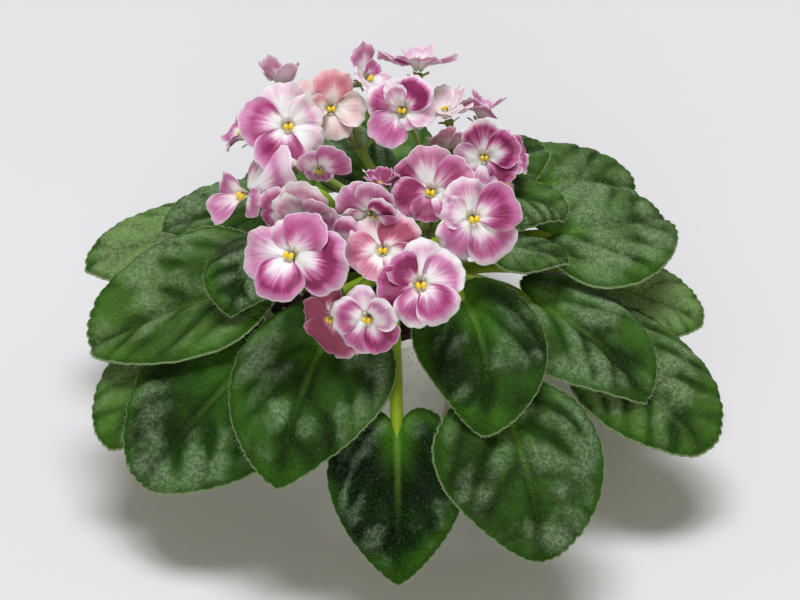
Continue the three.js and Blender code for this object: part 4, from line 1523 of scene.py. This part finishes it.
def pressed_flat(bloom, petal, rng):
    rows = np.linspace(0, 1, PETAL_ROWS)[:, None] ** 0.9
    columns = np.linspace(-1, 1, PETAL_COLUMNS)[None]
    columns = columns * (1.4 - 0.4 * columns**2)
    long = petal.reach * bloom.radius
    start = THROAT_RADIUS / long
    out = start + (1 - start) * rows
    widening = CLAW_SPREAD + (1 - CLAW_SPREAD) * soft_step(out, 0.03, 0.6)
    spread = (PETAL_SPREAD + rng.uniform(-3, 4)) * widening
    turn = np.radians(petal.angle + bloom.spin + spread * columns)
    phase = rng.uniform(0, 2 * np.pi, 6)
    arch, frill = petal_rim(columns, phase)
    radius = out * long * arch * frill
    return Flat(out, columns, turn, radius, radius * np.sin(np.radians(spread * columns)), long, phase)


print("points on a petal:", 2 * PETAL_ROWS * PETAL_COLUMNS)

# %% [markdown]
# Then each point is pushed forward or back. The petal is cupped, its middle bellies out, its rim is
# ruffled and falls back, it leans as a whole, and its foot dips into the throat.

# %% How far a petal stands forward
LAYER_STEP = 0.6
BELLY = 0.07
RUFFLE = 0.085
TWIST = 0.045
CRIMP = 0.28
DIP = 2.3
DIP_ENDS = (1.3, 3.8)


def standing(bloom, petal, flat, layer, rng):
    """Millimetres in front of the bloom's middle. layer says how far forward the whole petal lies."""
    out, columns, turn, radius, sideways, long, phase = flat
    share = radius / long
    cup = bloom.cup + bloom.wave * np.cos(3 * turn + bloom.radius)
    forward = long * share**2 * cup
    forward = forward + BELLY * long * (1 - columns**2) * np.sin(np.pi * out)
    ruffle = np.sin(4.2 * columns + phase[3]) * np.abs(columns) ** 0.5
    forward = forward + RUFFLE * long * out**3 * ruffle
    forward = forward + TWIST * long * out**2 * np.sin(7.3 * columns + 4 * out + phase[4])
    forward = forward + CRIMP * soft_step(out, 0.8, 1) * np.sin(19 * columns + phase[5])
    forward = forward - rng.uniform(0.02, 0.12) * long * soft_step(share, 0.7, 1) ** 2
    forward = forward + layer * LAYER_STEP * (soft_step(out, 0.05, 0.35) + 0.7 * out)
    forward = forward + radius * math.tan(math.radians(petal.lean + rng.uniform(-1, 1)))
    forward = forward + sideways * math.tan(math.radians(rng.uniform(-4, 4)))
    return forward - DIP * (1 - soft_step(radius, *DIP_ENDS))


print("a petal lies", LAYER_STEP, "mm or more in front of the one before it")

# %% [markdown]
# The two faces of a petal are the same sheet, pushed apart by its thickness. Marks at its points tell the
# finish how far out each point is, how pink the petal is, and where its streaks and its flush start.

# %% One petal as a closed shell
PETAL_THICKNESS = 0.42
RIM_THINNING = 0.65


def petal_shell(form, bloom, frame_of, petal, layer, rng):
    face, up, side = frame_of
    flat = pressed_flat(bloom, petal, rng)
    forward = standing(bloom, petal, flat, layer, rng)
    turn = flat.turn[..., None]
    sheet = np.array(bloom.at, float) + flat.radius[..., None] * (np.sin(turn) * side + np.cos(turn) * up)
    thickness = PETAL_THICKNESS * (1 - RIM_THINNING * flat.out**6 * np.ones_like(flat.columns))
    form.add_sheet(
        sheet + (forward + thickness / 2)[..., None] * face,
        sheet + (forward - thickness / 2)[..., None] * face,
        out=flat.out, spot=flat.columns, radius=flat.radius, back=np.array([0.0, 1.0])[:, None, None],
        pink=petal.pink, faded=bloom.faded,
        frost=rng.uniform(0, 1), start=rng.uniform(-0.10, 0.12), draw=rng.uniform(0, 10),
    )


print("a petal is", PETAL_THICKNESS, "mm thick, and less at its rim")

# %% [markdown]
# ## The heart of a bloom
# Two fat yellow anthers stand side by side in the throat, on short pale threads, and a thin magenta
# style leans out past them with a pale tip. Small balls and tubes do, stretched along the bloom's own
# directions.

# %% Anthers and style
USUAL_RADIUS = 16
ANTHER_SHAPE = [0.98, 1.3, 1.02]
ANTHER_ASIDE = 0.95
ANTHER_FORWARD = 2.1
THREAD_POINTS = 8
THREAD_RADIUS = 0.34
STYLE_POINTS = 14
STYLE_RADII = (0.30, 0.22)
STIGMA_RADIUS = 0.42
PART_SIDES = 8


def heart_shells(form, bloom, frame_of, rng):
    face, up, side = frame_of
    scale = np.clip(bloom.radius / USUAL_RADIUS, 0.72, 1.15)
    middle = np.array(bloom.at, float) - 0.5 * scale * up
    points, faces = ball(9, 14)
    for hand in (-1, 1):
        shape = points * ANTHER_SHAPE * scale
        shape = shape * (1 + 0.05 * ripple(shape, 1.5, rng, 3))[:, None]
        lean = side + hand * 0.15 * up
        place = middle + hand * ANTHER_ASIDE * scale * side + ANTHER_FORWARD * scale * face
        world = shape @ np.array([lean, up, face])
        form.add(world + place, faces, 1)
        foot = middle + hand * 0.5 * side - 1.8 * face
        thread = spline([foot, (foot + place) / 2 + 0.3 * hand * side, place], THREAD_POINTS)
        radii = np.full(THREAD_POINTS, THREAD_RADIUS * scale)
        form.add(*tube_shell(thread, radii, PART_SIDES)[:2], 2)
    lean_out = rng.uniform(-1, 1)
    foot = middle + 0.7 * up - 1.5 * face
    bend = foot + 2.6 * scale * face + 0.9 * up + 0.8 * lean_out * side
    tip = foot + (4.6 * face + 2.6 * up + 2.0 * lean_out * side) * scale
    radii = np.linspace(*STYLE_RADII, STYLE_POINTS) * scale
    style = tube_shell(spline([foot, bend, tip], STYLE_POINTS), radii, PART_SIDES)
    along = np.append(np.repeat(np.linspace(0, 1, STYLE_POINTS), PART_SIDES), [0, 1])
    form.add(*style[:2], 3, tip=along)
    points, faces = ball(4, PART_SIDES)
    form.add(points * STIGMA_RADIUS * scale + tip, faces, 3, tip=1.0)


print("points on an anther:", len(ball(9, 14)[0]))

# %% [markdown]
# ## Petal colours
# A petal is white at the heart, flushed with magenta in a band across its middle, paler again towards
# the rim, and edged with a thin white frill. Fine streaks run outward through the flush. The backs
# are paler and duller, and a faded bloom goes to salmon and cream. All of this hangs on how far out a
# point is and on how pink its petal is.

# %% The petals' finish
SHADES.update(
    white=(252, 246, 249), blush=(238, 202, 222), mauve=(200, 132, 174), magenta=(178, 76, 134),
    wine=(136, 36, 90), cream=(246, 230, 222), salmon=(222, 160, 160), faded_rose=(186, 96, 112),
    petal_back=(228, 190, 212), throat=(204, 212, 130), frilled_white=(248, 236, 244),
)


def petal_finish():
    finish = Finish(
        "petal", Sheen_Weight=0.15, Sheen_Roughness=0.4, Specular_IOR_Level=0.35,
        Subsurface_Weight=0.45, Subsurface_Scale=0.0015, Subsurface_Radius=(1.0, 0.7, 0.85),
    )
    out, spot, radius, pink, faded = finish.marks("out", "spot", "radius", "pink", "faded")
    back, draw, frost, start = finish.marks("back", "draw", "frost", "start")
    streaks = finish.noise(1, 3, finish.join(spot * 0.012 + draw, out * 0.0011, draw))
    broad = finish.noise(6, 2, finish.join(spot * 0.005 + draw, out * 0.007, draw))
    patch = broad - 0.5
    start = start + 0.26 * (pink - 0.5)
    flush = finish.smooth(out + start + 0.6 * patch + 0.26 * (streaks - 0.5), 0.27, 0.76)
    pale_rim = finish.smooth(out + 0.30 * patch, 0.72, 0.97) * (0.32 + 0.62 * frost)
    depth = flush * (1 - pale_rim) * (0.12 + 1.13 * pink)
    depth = depth * (0.74 + 0.52 * streaks) * (0.62 + 0.76 * broad)
    fresh = finish.ramp(
        depth, (0.0, "white"), (0.22, "blush"), (0.48, "mauve"), (0.82, "magenta"), (1.0, "wine"),
    )
    old = finish.ramp(depth, (0.0, "cream"), (0.4, "salmon"), (0.85, "faded_rose"))
    colour = finish.mix(back * 0.3, finish.mix(faded, fresh, old), "petal_back")
    colour = finish.mix((1 - finish.smooth(radius, 1.2, 3.2)) * 0.7, colour, "throat")
    colour = finish.mix(finish.smooth(out, 0.955, 0.99) * 0.55, colour, "frilled_white")
    normal = finish.bump(streaks + 0.4 * finish.noise(0.5, 2), 0.26)
    return finish.wear(Base_Color=colour, Roughness=0.42 + 0.14 * streaks, Normal=normal)


petal_skin = petal_finish()
print("nodes in the petals' finish:", len(petal_skin.node_tree.nodes))

# %% [markdown]
# The anthers are bright yellow and dusty with pollen, their threads pale, and the style magenta with a
# nearly white tip.

# %% Finishes of the heart
SHADES.update(
    pollen=(236, 196, 10), bright_pollen=(250, 226, 60), pale_thread=(226, 222, 168),
    green_thread=(206, 212, 130), style_magenta=(150, 48, 96), style_tip=(240, 230, 232),
)


def pollen_finish():
    finish = Finish("anther", Subsurface_Weight=0.1, Subsurface_Scale=0.001, Coat_Weight=0.15)
    dust = finish.noise(0.5, 3)
    colour = finish.mix(dust, "pollen", "bright_pollen")
    return finish.wear(Base_Color=colour, Roughness=0.35 + 0.2 * dust, Normal=finish.bump(dust, 0.12))


def thread_finish():
    finish = Finish("anther_thread", Roughness=0.45)
    return finish.wear(Base_Color=finish.mix(finish.noise(1.5, 2), "pale_thread", "green_thread"))


def style_finish():
    finish = Finish("style", Roughness=0.4)
    tip = finish.smooth(finish.mark("tip") + 0.1 * finish.noise(0.8), 0.62, 0.85)
    return finish.wear(Base_Color=finish.mix(tip, "style_magenta", "style_tip"))


bloom_finishes = [petal_skin, pollen_finish(), thread_finish(), style_finish()]
print("finishes on a bloom:", [finish.name for finish in bloom_finishes])

# %% [markdown]
# A bloom's petals are laid down in the order of its rows, and the heart comes last. Of five petals the
# third lies level with the throat, two behind it and two in front.

# %% Open every bloom
bloom_rng = np.random.default_rng(53)
for spray_name, spray in SPRAYS.items():
    for number, bloom in enumerate(spray.blooms, 1):
        frame_of = bloom_frame(bloom._replace(spin=0))
        bloom_form = Form()
        for layer, petal in enumerate(bloom.petals):
            petal_shell(bloom_form, bloom, frame_of, Petal(*petal), layer - 2, bloom_rng)
        heart_shells(bloom_form, bloom, frame_of, bloom_rng)
        node = f"bloom_{spray_name}_{number}"
        bloom_form.make(f"{node}_open", bloom_finishes, node)
print("points in the last bloom:", bloom_form.count)

# %% [markdown]
# ## The flower stalks
# A stalk rises from the crown and forks into thin stems. Behind each bloom sits a small green cup with
# five narrow sepals. Everything is hairy. Tubes along smooth curves make the stems, and the sepals are
# small closed grids, like the petals.

# %% Sepals
SEPAL_ROWS = np.linspace(0, 1, 12)[:, None]
SEPAL_COLUMNS = np.linspace(-1, 1, 7)[None]
SEPALS = 5
SEPAL_LENGTH = 5.2
SEPAL_GROWTH = (0.85, 1.1)
SEPAL_OPENNESS = (52, 66)
SEPAL_WIDTH = 1.9
SEPAL_HALF = 0.15
SEPAL_FOOT = 1.0
SEPAL_BEHIND = 2.2
SEPAL_BOW = 0.25
SEPAL_TROUGH = 0.35


def spoke(turn, up, side):
    """Outward and sideways at some angle round a stem."""
    outward = math.cos(turn) * side + math.sin(turn) * up
    return outward, -math.sin(turn) * side + math.cos(turn) * up


def sepal_shell(form, seat, frame_of, turn, length, openness):
    """A narrow pointed leaf that starts on the cup and lies behind the petals."""
    face, up, side = frame_of
    rows, columns = SEPAL_ROWS, SEPAL_COLUMNS
    outward, sideways = spoke(turn, up, side)
    half = 0.5 * SEPAL_WIDTH * (0.55 + 0.9 * rows) * (1 - rows) ** 0.55 + 0.04
    away = SEPAL_FOOT + length * rows * math.sin(openness)
    rise = length * rows * math.cos(openness) * (1 - SEPAL_BOW * rows) - SEPAL_BEHIND
    sheet = outward * (away * np.ones_like(columns))[..., None]
    sheet = sheet + sideways * (half * columns)[..., None]
    sheet = sheet + face * (rise + SEPAL_TROUGH * columns**2 * half)[..., None]
    form.add_sheet(seat + sheet + SEPAL_HALF * face, seat + sheet - SEPAL_HALF * face, 1, tip=rows)


print("a sepal is", SEPAL_LENGTH, "mm long and", SEPAL_WIDTH, "mm wide")

# %% [markdown]
# A stem is a tube that thickens and thins a little along its length. The cup is a short tube in line with
# the bloom's throat, and the bracts at the fork are two more leaves of the sepals' shape.

# %% Stems, cups and bracts
PEDUNCLE = 1.9
PEDICEL = 1.1
STEM_SIDES = 14
STEM_LENGTHS = (0.7, 1.6)
CUP_SIDES = 20
CUP_HEIGHTS = np.array([0.0, -0.4, -1.1, -2.2, -3.4, -4.4])
CUP_RADII = np.array([1.5, 2.05, 2.2, 1.95, 1.45, PEDICEL])
CUP_HAIRS = 36
CUP_LENGTHS = (0.6, 1.3)
BRACT_LENGTH = 6.0
BRACT_OPENNESS = 50


def stem_shells(form, points, radius, count, hairs, rng):
    swell = 1 + 0.06 * np.sin(np.linspace(0, 9, count) + rng.uniform(0, 6))
    shell, faces, out = tube_shell(spline(points, count), radius * swell, STEM_SIDES)
    form.add(shell, faces, 0)
    scatter_hairs(form, shell, out.reshape(-1, 3), hairs, STEM_LENGTHS, rng)


def calyx_shells(form, bloom, seat, rng):
    """The small green cup behind a bloom, with its five sepals."""
    frame_of = bloom_frame(bloom)
    points, faces, out = tube_shell(seat + CUP_HEIGHTS[:, None] * frame_of[0], CUP_RADII, CUP_SIDES)
    form.add(points, faces, 0)
    scatter_hairs(form, points, out.reshape(-1, 3), CUP_HAIRS, CUP_LENGTHS, rng, CUP_SIDES)
    for k in range(SEPALS):
        turn = 2 * math.pi * (k + 0.5) / SEPALS + rng.uniform(-0.15, 0.15)
        openness = math.radians(rng.uniform(*SEPAL_OPENNESS))
        sepal_shell(form, seat, frame_of, turn, SEPAL_LENGTH * rng.uniform(*SEPAL_GROWTH), openness)


def bract_shells(form, fork, along, rng):
    """Two small leaves where the stalk forks."""
    side = unit(np.cross(along, [0, 0, 1.0]))
    up = np.cross(side, along)
    for hand in (0, 1):
        turn = math.pi * hand + rng.uniform(-0.4, 0.4)
        sepal_shell(form, fork, (along, up, side), turn, BRACT_LENGTH, math.radians(BRACT_OPENNESS))


print("a stalk is", 2 * PEDUNCLE, "mm thick and a bloom's own stem", 2 * PEDICEL, "mm")

# %% [markdown]
# A closed bud is a ball, a little longer than wide, with five soft ridges where its petals will part.
# Five sepals hug it from below.

# %% Buds
BUD_SHAPE = [3.1, 3.1, 3.9]
BUD_RIDGE = 0.05
BUD_HAIRS = 90
BUD_LENGTHS = (0.7, 1.5)
BUD_SEPAL = 0.3
# The sepals on a bud: half their width, their distance from its axis and from its middle along it, how
# much their edges curl in, and the tilts from the bud's foot between which they lie, in half turns.
HUG_WIDTH = 1.5
HUG_RADIUS = 3.3
HUG_LENGTH = 4.1
HUG_CURL = 0.12
HUG_FOOT = 0.97
HUG_SWING = 0.62


def bud_shells(form, place, along, rosy, rng):
    points, faces = ball(18, 30)
    turn = np.arctan2(points[:, 1], points[:, 0])
    swell = 1 + BUD_RIDGE * np.cos(5 * turn) * (1 - points[:, 2] ** 2)
    shape = points * BUD_SHAPE * swell[:, None]
    side = unit(np.cross(along, [0.3, 0.9, 0.1]))
    up = np.cross(along, side)
    world = shape @ np.array([side, up, along])
    form.add(world + place, faces, 3, tip=(points[:, 2] + 1) / 2, rosy=float(rosy))
    rows, columns = SEPAL_ROWS, SEPAL_COLUMNS
    half = HUG_WIDTH * (0.6 + 0.8 * rows) * (1 - rows) ** 0.5 + 0.05
    tilt = math.pi * (HUG_FOOT - HUG_SWING * rows)
    for k in range(SEPALS):
        outward, sideways = spoke(2 * math.pi * k / SEPALS, up, side)
        sheet = outward * (HUG_RADIUS * np.sin(tilt) - HUG_CURL * (half * columns) ** 2)[..., None]
        sheet = sheet + sideways * (half * columns)[..., None]
        sheet = sheet + along * (HUG_LENGTH * np.cos(tilt) * np.ones_like(columns))[..., None]
        form.add_sheet(place + sheet, place + sheet + BUD_SEPAL * outward, 1, tip=rows)
    scatter_hairs(form, world + place, unit(world), BUD_HAIRS, BUD_LENGTHS, rng)


print("a bud is", 2 * BUD_SHAPE[2], "mm long")

# %% [markdown]
# The stems are olive green with a brown cast, the sepals greener with brown tips, and the closed buds
# cream or rosy. Each of these is one mix of a few greens over noise.

# %% Finishes of the flower stalks
SHADES.update(
    stem_green=(98, 128, 30), stem_olive=(136, 160, 58), stem_brown=(132, 104, 56),
    sepal_green=(116, 144, 48), sepal_pale=(150, 168, 72), sepal_tip=(116, 98, 58),
    bud_green=(150, 160, 88), bud_red=(176, 96, 84), bud_cream=(214, 206, 170), bud_white=(238, 222, 214),
    bud_rose=(214, 150, 160),
)


def stem_finish():
    finish = Finish("flower_stem", Sheen_Weight=0.25, Specular_IOR_Level=0.4)
    blots = finish.noise(5, 3)
    flush = finish.smooth(finish.noise(12, 2), 0.5, 0.7)
    colour = finish.mix(flush * 0.3, finish.mix(blots, "stem_green", "stem_olive"), "stem_brown")
    normal = finish.bump(finish.noise(0.9, 3), 0.15)
    return finish.wear(Base_Color=colour, Roughness=0.45 + 0.2 * blots, Normal=normal)


def sepal_finish():
    finish = Finish("sepal", Sheen_Weight=0.3, Specular_IOR_Level=0.35)
    tip = finish.smooth(finish.mark("tip") + 0.3 * finish.noise(1.5), 0.5, 1.15)
    blots = finish.noise(2, 3)
    colour = finish.mix(tip, finish.mix(blots, "sepal_green", "sepal_pale"), "sepal_tip")
    return finish.wear(Base_Color=colour, Roughness=0.5 + 0.2 * blots, Normal=finish.bump(blots, 0.2))


def bud_finish():
    finish = Finish("bud", Sheen_Weight=0.3, Subsurface_Weight=0.15, Subsurface_Scale=0.0015)
    tip, blots = finish.mark("tip"), finish.noise(1.8, 3)
    green = finish.mix(finish.smooth(tip, 0.35, 0.95), "bud_green", "bud_red")
    cream = finish.mix(finish.smooth(tip, 0.3, 0.9), "bud_cream", "bud_white")
    colour = finish.mix(blots * 0.25, finish.mix(finish.mark("rosy"), green, cream), "bud_rose")
    return finish.wear(Base_Color=colour, Roughness=0.5 + 0.15 * blots, Normal=finish.bump(blots, 0.2))


spray_finishes = [stem_finish(), sepal_finish(), hair, bud_finish()]
print("finishes on a flower stalk:", [finish.name for finish in spray_finishes])

# %% [markdown]
# Each stalk leaves the crown's head, bows up to its fork, and sends a stem behind every bloom and bud.
# The last stretch of a bloom's stem runs along the way the bloom looks, so that stem and cup meet
# without a kink.

# %% Raise every flower stalk
ROOT_CIRCLE = 5.5
CALYX_LENGTH = 4
GAP = 0.3
BUD_RADIUS = 3.2
# How far along a stalk and a stem their bends lie, as shares, and how far the stalk's is lifted.
STALK_BEND = 0.45
STALK_LIFT = 4
STEM_BEND = 0.6
# Where a bloom's stem ends in its cup, and where it starts to run straight, in lengths of the cup.
NECK = 0.5
BEHIND = 2.4
# Points along a stalk, a bloom's stem and a bud's stem, and hairs on each.
STALK_PARTS = (40, 150)
BLOOM_STEM_PARTS = (34, 90)
BUD_STEM_PARTS = (30, 60)

spray_rng = np.random.default_rng(71)
for spray_name, spray in SPRAYS.items():
    spray_form = Form()
    root = CROWN_HEAD + ROOT_CIRCLE * directions(spray.root, 0) - [0, 0, 2]
    fork = np.array(spray.fork, float)
    rise = root + (fork - root) * STALK_BEND + [0, 0, STALK_LIFT]
    stem_shells(spray_form, [root, rise, fork], PEDUNCLE, *STALK_PARTS, spray_rng)
    upward = unit(fork - rise)
    start = fork - 2 * upward
    bract_shells(spray_form, fork, upward, spray_rng)
    for bloom in spray.blooms:
        face = bloom_frame(bloom)[0]
        seat = np.array(bloom.at) - (THROAT_DEPTH + GAP) * face
        neck = seat - NECK * CALYX_LENGTH * face
        behind = seat - BEHIND * CALYX_LENGTH * face
        bend = fork + (behind - fork) * STEM_BEND
        stem_shells(spray_form, [start, bend, behind, neck], PEDICEL, *BLOOM_STEM_PARTS, spray_rng)
        calyx_shells(spray_form, bloom, seat, spray_rng)
    for x, y, z, rosy in spray.buds:
        place = np.array([x, y, z], float)
        below = place - [0, 0, BUD_RADIUS]
        middle = start + (below - start) * STEM_BEND - [0, 0, 2]
        stem_shells(spray_form, [start, middle, place], PEDICEL, *BUD_STEM_PARTS, spray_rng)
        bud_shells(spray_form, place, unit(place - middle), rosy, spray_rng)
    spray_form.make(f"spray_{spray_name}_grown", spray_finishes, f"spray_{spray_name}")
print("points in the last flower stalk:", spray_form.count)

# %% [markdown]
# ## The room
# The plant stands on a plain pale surface that runs on out of view, under soft daylight. Two large lamps
# overhead are the window, a low one in front fills the shade, and the sky light is even. Big lamps close
# by give shadows with soft edges, as a white room does.

# %% The floor
FLOOR_HALF = 4.0
SHADES.update(floor_grey=(213, 213, 216), floor_white=(221, 220, 221))


def floor_finish():
    finish = Finish("pale_floor", Specular_IOR_Level=0.2)
    cloud = finish.noise(400, 2)
    colour = finish.mix(cloud, "floor_grey", "floor_white")
    return finish.wear(Base_Color=colour, Roughness=0.8 + 0.1 * cloud)


floor_mesh = bpy.data.meshes.new("floor")
corners = [(-1, -1, 0), (1, -1, 0), (1, 1, 0), (-1, 1, 0)]
floor_mesh.from_pydata([tuple(FLOOR_HALF * c for c in corner) for corner in corners], [], [(0, 1, 2, 3)])
floor_mesh.materials.append(floor_finish())
floor = bpy.data.objects.new("floor", floor_mesh)
bpy.context.scene.collection.objects.link(floor)
floor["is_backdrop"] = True
print("the floor is", 2 * FLOOR_HALF, "m wide")

# %% [markdown]
# Daylight from a window is a touch blue, and light that a room throws back is warmer. Disks of more than
# a metre keep the shadows' edges soft, and the sky fills what no lamp reaches.

# %% Lamps and sky
COOL = (0.93, 0.94, 1.0)
WARM = (1.0, 0.985, 0.95)
SKY_TINT = (1.0, 0.95, 0.76, 1)
SKY_STRENGTH = 0.25
# Each lamp's place, its width in metres, its power in watts and its tint.
LAMPS = {
    "window": ((-0.4, 0.4, 3.3), 1.2, 53, COOL),
    "skylight": ((0.5, 0.4, 3.3), 1.2, 49, COOL),
    "fill": ((-0.3, -2.8, 1.0), 1.6, 27, WARM),
}

for name, (place, width, power, tint) in LAMPS.items():
    light = bpy.data.lights.new(name, "AREA")
    light.shape = "DISK"
    light.size = width
    light.energy = power
    light.color = tint
    hung = bpy.data.objects.new(name, light)
    hung.location = place
    hung.rotation_euler = (LOOKS_AT - Vector(place)).to_track_quat("-Z", "Y").to_euler()
    bpy.context.scene.collection.objects.link(hung)

sky = bpy.data.worlds.new("sky")
sky.use_nodes = True
background = sky.node_tree.nodes["Background"]
background.inputs["Color"].default_value = SKY_TINT
background.inputs["Strength"].default_value = SKY_STRENGTH
bpy.context.scene.world = sky
bpy.context.scene.view_settings.view_transform = "Standard"
print("lamps:", list(LAMPS), "with", sum(row[2] for row in LAMPS.values()), "W in all")

# %% [markdown]
# Last, the box round the dressed plant is held against the box round the plain model, and how far it
# reaches past it at each end of each axis is printed. That shows how little the finer pieces grow past
# the plain ones.

# %% How far the dressed plant grows past the plain model
dressed_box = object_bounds()
for axis, letter in enumerate("xyz"):
    grown = [dressed_box[end][axis] - cad_box[end][axis] for end in (0, 1)]
    print(letter, "grew by", [round(METRE * g, 2) for g in grown], "mm")
